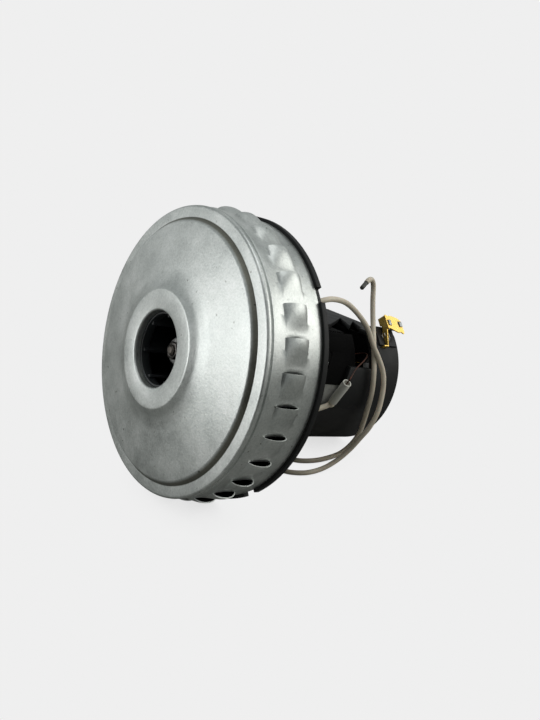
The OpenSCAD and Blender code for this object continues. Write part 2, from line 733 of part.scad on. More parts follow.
// The impeller is a shrouded wheel: its front plate rises to the eye as the cover does.
neck_z = 3.5 - collar_h;
neck_wall = 1.1;
shroud_in_z = 0.5;
shroud_tip_z = 12.5;
shroud_root_r = eye_r + 3;
vane_in_r = eye_r - 0.8;
vane_out_r = impeller_r - 1;
function shroud_z(r) = shroud_in_z
    + (shroud_tip_z - shroud_in_z) * (r - shroud_root_r) / (impeller_r - shroud_root_r);
module impeller_shroud() {
    color(dark_plastic) place() rotate_extrude() polygon([[eye_r, neck_z],
        [eye_r + neck_wall, neck_z], [eye_r + neck_wall, neck_z + 3.5],
        [shroud_root_r + 0.5, shroud_in_z - plate_t], [impeller_r, shroud_tip_z - plate_t],
        [impeller_r, shroud_tip_z], [shroud_root_r, shroud_in_z], [eye_r, neck_z + 4.5]]);
}

// One vane: an arc from the eye to the edge, bent backwards, between the two plates.
vane_bend_r = impeller_r * 0.7;
vane_end = vane_out_r * [cos(vane_sweep), sin(vane_sweep)];
vane_chord = vane_end - [vane_in_r, 0];
vane_middle = [vane_in_r, 0] + vane_chord / 2
    + sqrt(pow(vane_bend_r, 2) - pow(norm(vane_chord) / 2, 2))
    * [-vane_chord[1], vane_chord[0]] / norm(vane_chord);
vane_from = atan2(-vane_middle[1], vane_in_r - vane_middle[0]);
vane_to = atan2(vane_end[1] - vane_middle[1], vane_end[0] - vane_middle[0]);
module vane() {
    translate([vane_middle[0], vane_middle[1], neck_z]) rotate(vane_from)
        rotate_extrude(angle = vane_to - vane_from)
        translate([vane_bend_r - plate_t, 0]) square([plate_t, back_plate_z - neck_z]);
}

// The ring of air between the plates, which a vane fills from front to back.
module vane_space() {
    rotate([0, 0, 210]) rotate_extrude() polygon([[vane_in_r - cut, neck_z + 1],
        [eye_r, neck_z + 1], [eye_r, neck_z + 4.5], [shroud_root_r, shroud_in_z],
        [vane_out_r, shroud_z(vane_out_r)], [vane_out_r, back_plate_z],
        [vane_in_r - cut, back_plate_z]]);
}

module impeller_vanes() {
    color(dark_plastic) place() for (i = [0:vane_count - 1])
        at(vane_phi + i * 360 / vane_count) intersection() {
            vane();
            vane_space();
        }
}

// Back plate with the hub, which flares from the washer to the plate.
hub_r = washer_r + 1;
hub_end_z = back_plate_z + plate_t + 0.6;
module impeller_back() {
    color(dark_plastic) place() difference() {
        rotate_extrude() polygon([[0, hub_z], [hub_r, hub_z], [hub_r + 0.8, hub_z + 6],
            [hub_r + 2.6, hub_z + 12], [hub_r + 5, back_plate_z - 4],
            [hub_r + 7.5, back_plate_z], [impeller_r, back_plate_z],
            [impeller_r, back_plate_z + plate_t], [inner_race_r + 2, back_plate_z + plate_t],
            [inner_race_r + 2, hub_end_z], [0, hub_end_z]]);
        barrel(shaft_r, hub_z - cut, hub_end_z + cut);
    }
}

module rotor_spacer() {
    color(steel) place() difference() {
        barrel(inner_race_r, hub_end_z, front_bearing_z);
        barrel(shaft_r, hub_end_z - cut, front_bearing_z + cut);
    }
}

armature_slot_r = 2.6;
module armature_core() {
    color(iron) place() translate([0, 0, stator_z]) linear_extrude(stator_len) difference() {
        circle(r = armature_r);
        circle(r = shaft_r);
        for (i = [0:slot_count - 1]) rotate(i * 360 / slot_count) {
            translate([armature_r * 0.68, 0]) circle(r = armature_slot_r, $fn = 24);
            translate([armature_r * 0.68, -0.9]) square([armature_r, 1.8]);
        }
    }
}

// Winding of the armature: a bar in each slot and a fat ring at each end of the stack.
module armature_winding() {
    color(copper) place() difference() {
        union() {
            rotate_extrude() polygon([[0, stator_end],
                [armature_r - 1.5, stator_end], [armature_r - 2, stator_end + winding_len * 0.6],
                [armature_r - 6, stator_end + winding_len], [0, stator_end + winding_len]]);
            rotate_extrude() polygon([[0, stator_z], [armature_r - 1.5, stator_z],
                [armature_r - 2, stator_z - winding_len * 0.6],
                [armature_r - 5, stator_z - winding_len], [0, stator_z - winding_len]]);
            for (i = [0:slot_count - 1]) rotate(i * 360 / slot_count)
                translate([armature_r * 0.68, 0, stator_z - cut])
                cylinder(r = armature_slot_r - seat_gap, h = stator_len + 2 * cut, $fn = 24);
        }
        barrel(shaft_r, stator_z - winding_len - cut, stator_end + winding_len + cut);
    }
}

riser_h = 1.6;
module commutator() {
    color(copper) place() difference() {
        union() {
            barrel(commutator_r, commutator_z, commutator_z + commutator_len);
            barrel(commutator_r + riser_h, commutator_z - 2, commutator_z - eps);
        }
        barrel(shaft_r, commutator_z - 3, commutator_z + commutator_len + cut);
        for (i = [0:bar_count - 1]) rotate(i * 360 / bar_count)
            arm(commutator_r - 1, commutator_r + 2 * riser_h, -0.3, 0.3, commutator_z - 3,
                commutator_z + commutator_len + cut);
    }
}

fan_cover();
flange();
motor_housing();
housing_screw(0);  // housing_screw_1
housing_screw(1);  // housing_screw_2
housing_screw(2);  // housing_screw_3
housing_screw(3);  // housing_screw_4
stator_core();
field_coil(90);  // field_coil_1
field_coil(270);  // field_coil_2
coil_cover(0);  // coil_cover_1
coil_cover(180);  // coil_cover_2
bearing(front_bearing_z);  // front_bearing
bearing(rear_bearing_z);  // rear_bearing
brush_holder(0);  // brush_holder_1
brush_holder(180);  // brush_holder_2
brush_tube(0);  // brush_tube_1
brush_tube(180);  // brush_tube_2
brush_cap(0);  // brush_cap_1
brush_cap(180);  // brush_cap_2
cap_lugs(0);  // cap_lugs_1
cap_lugs(180);  // cap_lugs_2
brush_spring(0);  // brush_spring_1
brush_spring(180);  // brush_spring_2
lead_clip(0);  // lead_clip_1
lead_clip(180);  // lead_clip_2
splice_sleeve();
magnet_wire();
lead_stub();
lead(0, lead_1_route);  // lead_1
lead(180, lead_2_route);  // lead_2
lead_core(lead_1_route);  // lead_core_1
lead_core(lead_2_route);  // lead_core_2
shaft();
inner_race(front_bearing_z);  // front_inner_race
inner_race(rear_bearing_z);  // rear_inner_race
impeller_shroud();
impeller_vanes();
impeller_back();
hub_washer();
hub_nut();
rotor_spacer();
armature_core();
armature_winding();
commutator();
carbon_brush(0);  // carbon_brush_1
carbon_brush(180);  // carbon_brush_2
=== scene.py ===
# %% [markdown]
# # Vacuum motor unit
# This is the suction unit of a vacuum cleaner: a pressed steel fan cover with a ring of
# louvres, a black flange behind it, and a plastic motor housing with its brushes and leads.
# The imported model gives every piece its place. The script dresses it: what is plain and
# machined keeps the model's own mesh and gets a finish, and what is pressed, wound or moulded
# is modelled again here. All sizes below are in millimetres, because drawings are.

# %% The frame
import math

import bmesh
import bpy
import numpy as np
from mathutils import Matrix, Vector


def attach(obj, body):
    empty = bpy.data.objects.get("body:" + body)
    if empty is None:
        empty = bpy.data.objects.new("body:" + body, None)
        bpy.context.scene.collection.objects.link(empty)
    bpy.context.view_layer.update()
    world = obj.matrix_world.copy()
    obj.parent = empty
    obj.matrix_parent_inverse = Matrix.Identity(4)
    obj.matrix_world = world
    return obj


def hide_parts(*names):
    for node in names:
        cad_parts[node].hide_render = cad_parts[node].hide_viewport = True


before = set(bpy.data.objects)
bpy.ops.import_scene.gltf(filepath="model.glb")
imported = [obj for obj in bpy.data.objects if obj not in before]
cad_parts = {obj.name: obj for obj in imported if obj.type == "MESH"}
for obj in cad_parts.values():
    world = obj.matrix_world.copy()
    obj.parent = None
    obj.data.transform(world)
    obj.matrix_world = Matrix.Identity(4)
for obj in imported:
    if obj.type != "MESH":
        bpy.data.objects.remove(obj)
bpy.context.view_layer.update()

# %% [markdown]
# The unit lies tilted on the bench, resting on its flange and its tail, but it is far easier
# to think of it on its own shaft. So pieces are drawn in a shaft frame: z runs back from the
# front rim, and a direction phi is counted from the top towards +X. One matrix lays a finished
# mesh down on the bench, and turns millimetres into metres.

# %% The shaft frame
MM = 0.001
TILT = math.radians(19.5388)
MIDDLE_Y = 55.6317
BENCH_Z = 80.7791
SHAFT = (Matrix.Translation((0, -MIDDLE_Y * MM, BENCH_Z * MM))
         @ Matrix.Rotation(-math.pi / 2 - TILT, 4, "X") @ Matrix.Scale(MM, 4))


def polar(r, phi, z):
    """A point of the shaft frame from its radius, its direction in degrees and its z."""
    a = math.radians(phi)
    return Vector((r * math.sin(a), -r * math.cos(a), z))


def lay_down(mesh):
    mesh.transform(SHAFT)
    return mesh


print("front of the shaft frame is at", SHAFT @ Vector((0, 0, 0)))

# %% [markdown]
# The camera stands where the photo was taken from: to the right of the inlet and a little
# above it. Its place was worked out from the ellipses of the rim and the inlet, against their
# sizes in the model. A 35 mm lens on a 36 mm high picture gives the same perspective.

# %% Camera
camera = bpy.data.objects.new("camera", bpy.data.cameras.new("camera"))
bpy.context.scene.collection.objects.link(camera)
bpy.context.scene.camera = camera
camera.location = (0.284235, -0.210765, 0.215703)
camera.rotation_euler = Vector((-0.72862, 0.55524, -0.40103)).to_track_quat("-Z", "Y").to_euler()
camera.data.sensor_fit = "VERTICAL"
camera.data.sensor_height = 36
camera.data.lens = 35
camera.data.clip_start = 0.01
bpy.context.scene.view_settings.view_transform = "Standard"
print("camera looks from", camera.location)

# %% [markdown]
# A material is a small graph of nodes. One function adds a node, sets its values and links
# its inputs, so that each finish below reads like a list. Colours are written as sRGB hex
# values, as a paint chart gives them, and turned to linear once. A pattern's size is written
# in millimetres, and turned into the scale that a texture node wants. Sockets go by name, or by
# number where names repeat: on Map Range, 1 to 4 are the ends of what comes in and of what goes
# out, and on Mix, 2 and 3 are its two numbers and 6 and 7 its two colours.

# %% Nodes, colours and pattern sizes
def linear(hexcode):
    """An sRGB hex colour as linear values."""
    parts = [int(hexcode[i:i + 2], 16) / 255 for i in (1, 3, 5)]
    return tuple(c / 12.92 if c <= 0.04045 else ((c + 0.055) / 1.055) ** 2.4
                 for c in parts) + (1.0,)


def every(size):
    """The scale of a texture whose features are about this many millimetres wide."""
    return 1 / (size * MM)


def node(tree, kind, values=None, links=None, stops=(), **settings):
    """Adds a node: values go on its sockets, links come from other nodes' outputs, and stops
    of a position and a hex colour go on its colour ramp."""
    made = tree.nodes.new(kind)
    for key, value in settings.items():
        setattr(made, key, value)
    for socket, value in (values or {}).items():
        made.inputs[socket].default_value = value
    for socket, source in (links or {}).items():
        tree.links.new(source, made.inputs[socket])
    for i, (position, colour) in enumerate(stops):
        elements = made.color_ramp.elements
        if i == 0:
            elements.remove(elements[1])
        element = elements.new(position) if i else elements[0]
        element.position, element.color = position, linear(colour)
    return made


def new_material(name):
    """An empty material with its shader, its output and the object coordinates."""
    material = bpy.data.materials.new(name)
    material.use_nodes = True
    tree = material.node_tree
    tree.nodes.clear()
    shader = node(tree, "ShaderNodeBsdfPrincipled")
    node(tree, "ShaderNodeOutputMaterial", links={"Surface": shader.outputs[0]})
    place = node(tree, "ShaderNodeTexCoord").outputs["Object"]
    return material, tree, shader, place


print("steel grey in linear values:", linear("#b9bcba"))

# %% [markdown]
# The world has two sides. The camera sees it as one even grey, as in the photo. The unit
# sees a studio: dim below, brightest just over the horizon, and dark in one direction, so that
# the steel, which has hardly any colour of its own, shows light and dark areas.

# %% World
BACKDROP = linear("#efefef")
AMBIENT = 0.80
DARK_WAY = Vector((0.60, -0.79, 0.10))
world = bpy.data.worlds.new("studio")
bpy.context.scene.world = world
world.use_nodes = True
sky = world.node_tree
sky.nodes.clear()
ray = node(sky, "ShaderNodeLightPath")
direction = node(sky, "ShaderNodeTexCoord").outputs["Generated"]
height = node(sky, "ShaderNodeSeparateXYZ", links={0: direction}).outputs["Z"]
upwards = node(sky, "ShaderNodeMapRange", {1: -1.0, 2: 1.0}, {0: height}).outputs[0]
tone = node(sky, "ShaderNodeValToRGB", links={0: upwards}, stops=[
    (0.0, "#55534f"), (0.47, "#8a8982"), (0.54, "#d8dbdb"), (0.61, "#d8dbdb"),
    (0.74, "#b6bbbb"), (1.0, "#c8cccc")])
towards = node(sky, "ShaderNodeVectorMath", {1: DARK_WAY}, {0: direction},
               operation="DOT_PRODUCT").outputs["Value"]
dark_side = node(sky, "ShaderNodeMapRange", {1: 0.64, 2: 0.93, 3: 1.0, 4: 0.03},
                 {0: towards}).outputs[0]
strength = node(sky, "ShaderNodeMath", {1: AMBIENT}, {0: dark_side}, operation="MULTIPLY")
ambient = node(sky, "ShaderNodeBackground", links={"Color": tone.outputs[0],
                                                  "Strength": strength.outputs[0]})
seen = node(sky, "ShaderNodeBackground", {"Color": BACKDROP, "Strength": 1.0})
mix = node(sky, "ShaderNodeMixShader", links={0: ray.outputs["Is Camera Ray"],
                                             1: ambient.outputs[0], 2: seen.outputs[0]})
node(sky, "ShaderNodeOutputWorld", links={"Surface": mix.outputs[0]})
print("the world has", len(sky.nodes), "nodes")

# %% [markdown]
# The floor is a sweep of matt pale paper, in the same grey. A shadow from the lamps would
# fall across the picture, and the photo shows hardly any. So the tone that the camera sees is
# a painted shadow from how closed in the floor is: it is a little darker within 24 mm of the
# unit.

# %% Floor
floor_mesh = bpy.data.meshes.new("floor")
floor_mesh.from_pydata([(-3, -3, 0), (3, -3, 0), (3, 3, 0), (-3, 3, 0)], [], [(0, 1, 2, 3)])
floor = bpy.data.objects.new("floor", floor_mesh)
bpy.context.scene.collection.objects.link(floor)
paper = bpy.data.materials.new("matt pale paper sweep")
paper.use_nodes = True
tree = paper.node_tree
tree.nodes.clear()
path = node(tree, "ShaderNodeLightPath").outputs["Is Camera Ray"]
closed = node(tree, "ShaderNodeAmbientOcclusion", {"Distance": 24 * MM}, samples=16)
shade = node(tree, "ShaderNodeValToRGB", links={0: closed.outputs["AO"]},
             stops=[(0.0, "#cfcfcf"), (0.35, "#ececec"), (0.7, "#efefef")])
shown = node(tree, "ShaderNodeEmission", {"Strength": 1.0}, {"Color": shade.outputs[0]})
matt = node(tree, "ShaderNodeBsdfDiffuse", {"Color": linear("#8f8f8c")})
both = node(tree, "ShaderNodeMixShader", links={0: path, 1: matt.outputs[0],
                                               2: shown.outputs[0]})
node(tree, "ShaderNodeOutputMaterial", links={"Surface": both.outputs[0]})
floor_mesh.materials.append(paper)
print("the floor is", floor.dimensions.x, "m wide")

# %% [markdown]
# Three large soft panels stand for the windows and the ceiling of the room. A panel is a
# rectangle, because its edge shows as the edge of the bright areas on the steel.

# %% Light
def soft_panel(name, towards, distance, size, power, colour="#ffffff"):
    """An area light that stands in a direction and faces the unit."""
    light = bpy.data.lights.new(name, "AREA")
    light.shape = "RECTANGLE"
    light.size, light.size_y = size
    light.energy = power
    light.color = linear(colour)[:3]
    panel = bpy.data.objects.new(name, light)
    bpy.context.scene.collection.objects.link(panel)
    away = Vector(towards).normalized()
    panel.location = Vector((0, 0, 0.06)) + away * distance
    panel.rotation_euler = (-away).to_track_quat("-Z", "Y").to_euler()


soft_panel("front window", (-0.36, -0.90, 0.26), 1.3, (1.0, 0.6), 4.7)
soft_panel("right window", (0.50, 0.80, 0.34), 1.1, (0.95, 0.55), 3.8, "#fffdf8")
soft_panel("overhead", (0.10, 0.30, 0.95), 1.2, (0.8, 0.8), 2.9)

# %% [markdown]
# The two leads come out of clips on the flange. The first bends over the side of the housing
# and runs down to the bench; the second comes back up from there and ends in a hook above the
# brass cap. Silicone leads bend evenly, so each is a smooth curve through its own route.

# %% Routes of the leads
LEAD_D, STRANDS_D, STRANDS_LONG = 2.8, 2.4, 5.5
CLIP_R, CLIP_PHI, CLIP_END = 63, 47, 39.5
LEAD_1 = [
    (46.3, 4.4, 107.3), (45.3, 8.7, 106.5), (43, 16.7, 103.6), (40.8, 24.3, 99.5),
    (38.5, 34.6, 90.8), (39, 41.3, 81.9), (42, 43, 73), (44, 46, 65), (46, 48, 57),
    (48, 47, 50), (49.5, 44.5, 43), (50.5, 41, 36), (49.5, 36.5, 28), (46, 33, 20.5),
    (42, 30, 13), (38, 24, 6), (35, 16, 2.2), (32, 7, 1.5), (26, 0, 1.5), (18, -4, 1.5),
    (10, -7, 1.5), (1, -9, 1.5), (-8, -10, 1.5), (-17, -11, 1.5), (-26, -14, 1.5),
    (-33, -19, 1.5)]
LEAD_2 = [
    (-47, -24, 22.5), (-47, -15, 16.5), (-45, -8, 11), (-39, -4, 5), (-31, -3, 1.8),
    (-22, -3, 1.5), (-13, -2, 1.5), (-5, 0, 1.5), (4, 3, 1.5), (12, 7, 1.5), (20, 12, 1.5),
    (25, 19, 1.5), (28, 26, 2), (31, 33, 4), (34, 38, 9), (38, 40, 17), (42, 39, 26),
    (44, 39.5, 35), (45, 41, 44), (45, 42, 52), (43, 44, 61), (39, 47, 70), (34, 51, 77),
    (29, 55, 85), (26, 57.5, 92), (24.4, 59, 97.5), (24.6, 58.2, 100.6), (25.2, 56, 102.8),
    (26, 53.2, 102.9), (26.5, 51.2, 102.1)]


def smooth_line(points, steps):
    """Points of a centripetal Catmull-Rom curve through the given points."""
    p = [np.array(q, float) for q in points]
    p = [2 * p[0] - p[1]] + p + [2 * p[-1] - p[-2]]
    line = []
    for a, b, c, d in zip(p, p[1:], p[2:], p[3:]):
        t0, t1 = 0.0, np.linalg.norm(b - a) ** 0.5
        t2 = t1 + np.linalg.norm(c - b) ** 0.5
        t3 = t2 + np.linalg.norm(d - c) ** 0.5
        for t in np.linspace(t1, t2, steps, endpoint=False):
            ab = a + (b - a) * (t - t0) / (t1 - t0)
            bc = b + (c - b) * (t - t1) / (t2 - t1)
            cd = c + (d - c) * (t - t2) / (t3 - t2)
            abc = ab + (bc - ab) * (t - t0) / (t2 - t0)
            bcd = bc + (cd - bc) * (t - t1) / (t3 - t1)
            line.append(abc + (bcd - abc) * (t - t1) / (t2 - t1))
    line.append(p[-2])
    return line


print("points on the routes:", len(LEAD_1), "and", len(LEAD_2))

# %% [markdown]
# Wires and leads are round tubes along a line. Blender's curves could be bevelled to give the
# same, but a tube made by hand has no twist, is closed at its ends, and has UVs that run along
# it in millimetres. The same cell puts any finished mesh in the scene.

# %% Tubes and pieces
def tube_mesh(name, line, radius, sides=14, rounded=0.0):
    """A closed tube along a line, with UVs that run along it. rounded is the share of the
    radius at which its two ends are drawn in."""
    line = [Vector(q) for q in line]
    tangents = [(line[min(i + 1, len(line) - 1)] - line[max(i - 1, 0)]).normalized()
                for i in range(len(line))]
    side = tangents[0].orthogonal().normalized()
    rings, along = [], 0.0
    bm = bmesh.new()
    uv = bm.loops.layers.uv.new("UVMap")
    lengths = []
    radii = [radius] * len(line)
    if rounded:
        line = [line[0] - tangents[0] * radius * rounded * 0.6] + line
        line = line + [line[-1] + tangents[-1] * radius * rounded * 0.6]
        tangents = [tangents[0]] + tangents + [tangents[-1]]
        radii = [radius * (1 - rounded * 0.5)] + radii + [radius * (1 - rounded * 0.5)]
    for i, (q, t, r) in enumerate(zip(line, tangents, radii)):
        side = (side - t * side.dot(t)).normalized()
        other = t.cross(side)
        along += (q - line[i - 1]).length if i else 0.0
        lengths.append(along)
        rings.append([bm.verts.new(q + r * (math.cos(a) * side + math.sin(a) * other))
                      for a in (2 * math.pi * k / sides for k in range(sides))])
    for i in range(len(rings) - 1):
        for k in range(sides):
            m = (k + 1) % sides
            face = bm.faces.new((rings[i][k], rings[i][m], rings[i + 1][m], rings[i + 1][k]))
            face.smooth = True
            for loop, (u, v) in zip(face.loops, ((k, i), (k + 1, i), (k + 1, i + 1), (k, i + 1))):
                loop[uv].uv = (u / sides, lengths[v] / MM)
    for ring, turn in ((rings[0], -1), (rings[-1], 1)):
        cap = bm.faces.new(ring[::turn])
        cap.smooth = False
    mesh = bpy.data.meshes.new(name)
    bm.to_mesh(mesh)
    bm.free()
    return mesh


def add_piece(name, mesh, body, material, replaces=()):
    """Puts a finished mesh in the scene: it rides on its body and takes over its nodes."""
    piece = bpy.data.objects.new(name, mesh)
    bpy.context.scene.collection.objects.link(piece)
    mesh.materials.clear()
    mesh.materials.append(material)
    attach(piece, body)
    if replaces:
        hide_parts(*replaces)
    return piece


# %% [markdown]
# The insulation is silicone rubber, extruded over the strands. It is matt and lets a little
# light in, so its shade side stays soft. It picks up dust, which yellows it in patches of about
# 11 mm. The skin's own grain is 0.4 mm here, coarser than the real one, so that it shows.

# %% Silicone rubber
def silicone_lead():
    """Extruded silicone rubber: matt, slightly soft to light, with faint dust."""
    material, tree, shader, place = new_material("extruded silicone rubber")
    grime_and_step_shade = node(tree, "ShaderNodeTexNoise", {"Scale": every(11.11), "Detail": 3.0},
                 {"Vector": place})
    fine = node(tree, "ShaderNodeTexNoise", {"Scale": every(0.4), "Detail": 2.0},
                {"Vector": place})
    colour = node(tree, "ShaderNodeValToRGB", links={0: grime_and_step_shade.outputs["Fac"]},
                  stops=[(0.3, "#c4b9a5"), (0.7, "#dfd4c0")])
    bump = node(tree, "ShaderNodeBump", {"Strength": 0.12, "Distance": 0.0001},
                {"Height": fine.outputs["Fac"]})
    shader.inputs["Roughness"].default_value = 0.5
    shader.inputs["Subsurface Weight"].default_value = 0.05
    shader.inputs["Subsurface Scale"].default_value = 0.001
    tree.links.new(colour.outputs[0], shader.inputs["Base Color"])
    tree.links.new(bump.outputs[0], shader.inputs["Normal"])
    return material


lead_rubber = silicone_lead()
print("made", lead_rubber.name)

# %% [markdown]
# A lead leaves its clip straight back, along the shaft, and then follows its route. At its
# far end the insulation is cut and the strands are bare and twisted; their dark grey is
# painted shade.

# %% Leads
tip_material, tree, shader, place = new_material("tinned strands in painted shade")
# Painted shade: the strands are coloured dark grey, as their ends look in shade.
shader.inputs["Base Color"].default_value = linear("#4b4c48")
shader.inputs["Metallic"].default_value = 0.6
shader.inputs["Roughness"].default_value = 0.5
AXIS_BACK = (SHAFT @ Vector((0, 0, 1)) - SHAFT @ Vector((0, 0, 0))).normalized()
for number, turn, route in ((1, 0, LEAD_1), (2, 180, LEAD_2)):
    leaves = SHAFT @ polar(CLIP_R, CLIP_PHI + turn, CLIP_END)
    points = [leaves, leaves + 2 * MM * AXIS_BACK] + [Vector(q) * MM for q in route]
    line = smooth_line(points, 6)
    end, along = Vector(line[-1]), Vector(line[-1] - line[-2]).normalized()
    strands = [end + along * STRANDS_LONG * MM * t for t in np.linspace(-0.1, 0.88, 8)]
    name = f"lead_core_{number}_strands"
    tip = add_piece(name, tube_mesh(name, strands, STRANDS_D * MM / 2, rounded=1.0), "frame",
                    tip_material, [f"lead_core_{number}"])
    name = f"lead_{number}_insulation"
    lead = add_piece(name, tube_mesh(name, line, LEAD_D * MM / 2), "frame", lead_rubber,
                     [f"lead_{number}"])

# %% [markdown]
# The fan cover is one pressing of zinc-plated sheet. Its section could be traced as a curve,
# but it is drawn as corners with a fillet each, the way a press tool is dimensioned: the
# inlet's collar, the flank round it, the shallow cone, the step, the rim and its groove.

# %% Section of the fan cover
COVER_R, SHEET = 72.5, 0.55
COVER_SECTION = [  # radius, z, fillet
    (19.0, -5.2, 0), (19.0, -10, 1.0), (29.4, -10, 1.9), (33.0, -7.65, 12.0),
    (38.0, -6.0, 26.0), (64.2, -2.42, 1.8), (66.3, 0, 0.8), (COVER_R, 0, 1.3),
    (COVER_R, 2.1, 0.3), (COVER_R - 0.85, 2.5, 0.2), (COVER_R - 0.85, 3.1, 0.2),
    (COVER_R, 3.5, 0.3), (COVER_R, 7.5, 0)]


STRAIGHT = 1.55  # half of a corner's angle, above which the corner needs no fillet


def filleted(section, steps=4):
    """The section as points, with each corner rounded by its fillet."""
    points = [Vector(section[0][:2])]
    for before, here, after in zip(section, section[1:], section[2:]):
        a, b, c = (Vector(q[:2]) for q in (before, here, after))
        u, v = (a - b).normalized(), (c - b).normalized()
        half = u.angle(v) / 2
        if here[2] == 0 or half > STRAIGHT:
            points.append(b)
            continue
        back = here[2] / math.tan(half)
        centre = b + (u + v).normalized() * here[2] / math.sin(half)
        start, stop = b + u * back - centre, b + v * back - centre
        turn = math.atan2(start.x * stop.y - start.y * stop.x, start.dot(stop))
        for i in range(steps + 1):
            points.append(centre + Matrix.Rotation(turn * i / steps, 2) @ start)
    points.append(Vector(section[-1][:2]))
    return points


def spaced(points, longest):
    """Adds points on long stretches, so that shading stays even."""
    out = [points[0]]
    for a, b in zip(points, points[1:]):
        n = max(1, math.ceil((b - a).length / longest))
        out += [a.lerp(b, i / n) for i in range(1, n + 1)]
    return out


section = spaced(filleted(COVER_SECTION), 9.0)
print("the cover's section has", len(section), "points")

# %% [markdown]
# The louvres are lanced into the side wall: the sheet is cut along a line and pushed out
# behind the cut, so that each is a half dome with an open mouth, and in front of the mouth the
# wall dips a little. A boolean would leave sharp seams, so one slice of the cover is made as a
# grid that is wider there, and is left unjoined along the cut.

# %% One slice with its louvre
LOUVRES, LOUVRE_PHI = 30, 90.9
LOUVRE_Z, LOUVRE_W, LOUVRE_H, LOUVRE_LEN = 16.8, 13.6, 2.95, 12.8
COVER_END, PEAK = 32.4, 0.6
DIP_TURN, DIP = 1.6, 0.55  # degrees in front of a mouth, and how deep the wall dips there
CUT = 3  # the columns of points on both sides of the cut are this one and the next
MERGE = 0.0005
slice_turn = 360 / LOUVRES
louvre_turn = math.degrees(LOUVRE_LEN / COVER_R)


def louvre_height(u, v):
    """Height of the dome at u behind its mouth and v across it, both from 0 to 1: the mouth
    is a full half-moon with its ridge behind the middle, and the dome fades away from it."""
    if not (0 <= u < 1 and 0 < v < 1):
        return 0.0
    w = (v - PEAK) / (PEAK if v < PEAK else 1 - PEAK)
    across = (1 - w * w) ** (0.65 if v < PEAK else 0.5)
    return LOUVRE_H * across * (0.5 + 0.5 * math.cos(math.pi * u)) ** 0.8


def cover_slice():
    """A slice of the outside of the cover, with its louvre's mouth cut open."""
    behind = (0.05, 0.12, 0.2, 0.29, 0.38, 0.47, 0.56, 0.65, 0.73, 0.81, 0.88, 0.94, 1.0)
    turns = ([-DIP_TURN, -0.9, -0.35, 0.0, 0.0] + [louvre_turn * u for u in behind]
             + [slice_turn - DIP_TURN])
    first, last = LOUVRE_Z - LOUVRE_W / 2, LOUVRE_Z + LOUVRE_W / 2
    wall = ([first + LOUVRE_W * v for v in np.linspace(0, 1, 25)]
            + [last + 2.2, last + 4.5, COVER_END - 2.5, COVER_END])
    profile = [(q.x, q.y) for q in section] + [(COVER_R, z) for z in wall]
    bm = bmesh.new()
    columns = []
    for i, turn in enumerate(turns):
        column = []
        for r, z in profile:
            if i > CUT and z >= first:
                r += louvre_height(turn / louvre_turn, (z - first) / LOUVRE_W)
            elif first < z < last and turn > -DIP_TURN:
                r -= (DIP * (1 + turn / DIP_TURN) ** 2
                      * math.sin(math.pi * (z - first) / LOUVRE_W))
            column.append(bm.verts.new(polar(r, turn, z)))
        columns.append(column)
    for i, (a, b) in enumerate(zip(columns, columns[1:])):
        for k in range(len(profile) - 1):
            if i != CUT:
                bm.faces.new((a[k], a[k + 1], b[k + 1], b[k])).smooth = True
    bmesh.ops.remove_doubles(bm, verts=bm.verts, dist=MERGE)
    bmesh.ops.recalc_face_normals(bm, faces=bm.faces)
    mesh = bpy.data.meshes.new("fan_cover")
    bm.to_mesh(mesh)
    bm.free()
    return mesh


slice_mesh = cover_slice()
print("one slice has", len(slice_mesh.polygons), "faces")

# %% [markdown]
# All thirty louvres are struck by one tool, so the slice is turned round the shaft by a
# Geometry Nodes tree. Its inputs are how many copies there are, how far each is turned from
# the last, where the first stands, and how close two points must be to become one. The result
# is realised, because instances don't leave Blender as meshes. The windings use it too.

# %% A ring of copies
def ring_tree():
    tree = bpy.data.node_groups.new("Ring round the shaft", "GeometryNodeTree")
    interface = tree.interface
    sockets = {}
    for name, kind, side in (("Geometry", "NodeSocketGeometry", "INPUT"),
                             ("Count", "NodeSocketInt", "INPUT"),
                             ("Turn", "NodeSocketFloat", "INPUT"),
                             ("Start", "NodeSocketFloat", "INPUT"),
                             ("Merge distance", "NodeSocketFloat", "INPUT"),
                             ("Material", "NodeSocketMaterial", "INPUT"),
                             ("Geometry", "NodeSocketGeometry", "OUTPUT")):
        socket = interface.new_socket(name, in_out=side, socket_type=kind)
        if side == "INPUT":
            sockets[name] = socket.identifier
    given = node(tree, "NodeGroupInput").outputs
    points = node(tree, "GeometryNodeMeshLine", {"Offset": (0, 0, 0)},
                  {"Count": given["Count"]})
    index = node(tree, "GeometryNodeInputIndex").outputs[0]
    angle = node(tree, "ShaderNodeMath", links={0: index, 1: given["Turn"], 2: given["Start"]},
                 operation="MULTIPLY_ADD").outputs[0]
    turned = node(tree, "ShaderNodeCombineXYZ", links={"Z": angle}).outputs[0]
    copies = node(tree, "GeometryNodeInstanceOnPoints",
                  links={"Points": points.outputs[0], "Instance": given["Geometry"],
                         "Rotation": turned})
    real = node(tree, "GeometryNodeRealizeInstances", links={0: copies.outputs[0]})
    merged = node(tree, "GeometryNodeMergeByDistance",
                  links={"Geometry": real.outputs[0], "Distance": given["Merge distance"]})
    painted = node(tree, "GeometryNodeSetMaterial",
                   links={"Geometry": merged.outputs[0], "Material": given["Material"]})
    node(tree, "NodeGroupOutput", links={0: painted.outputs[0]})
    return tree, sockets


RING, RING_SOCKETS = ring_tree()


def evaluated(piece, name):
    """A plain mesh of an object with its modifiers worked in; the object is removed."""
    bpy.context.view_layer.update()
    graph = bpy.context.evaluated_depsgraph_get()
    mesh = bpy.data.meshes.new_from_object(piece.evaluated_get(graph))
    mesh.name = name
    bpy.data.objects.remove(piece)
    return mesh


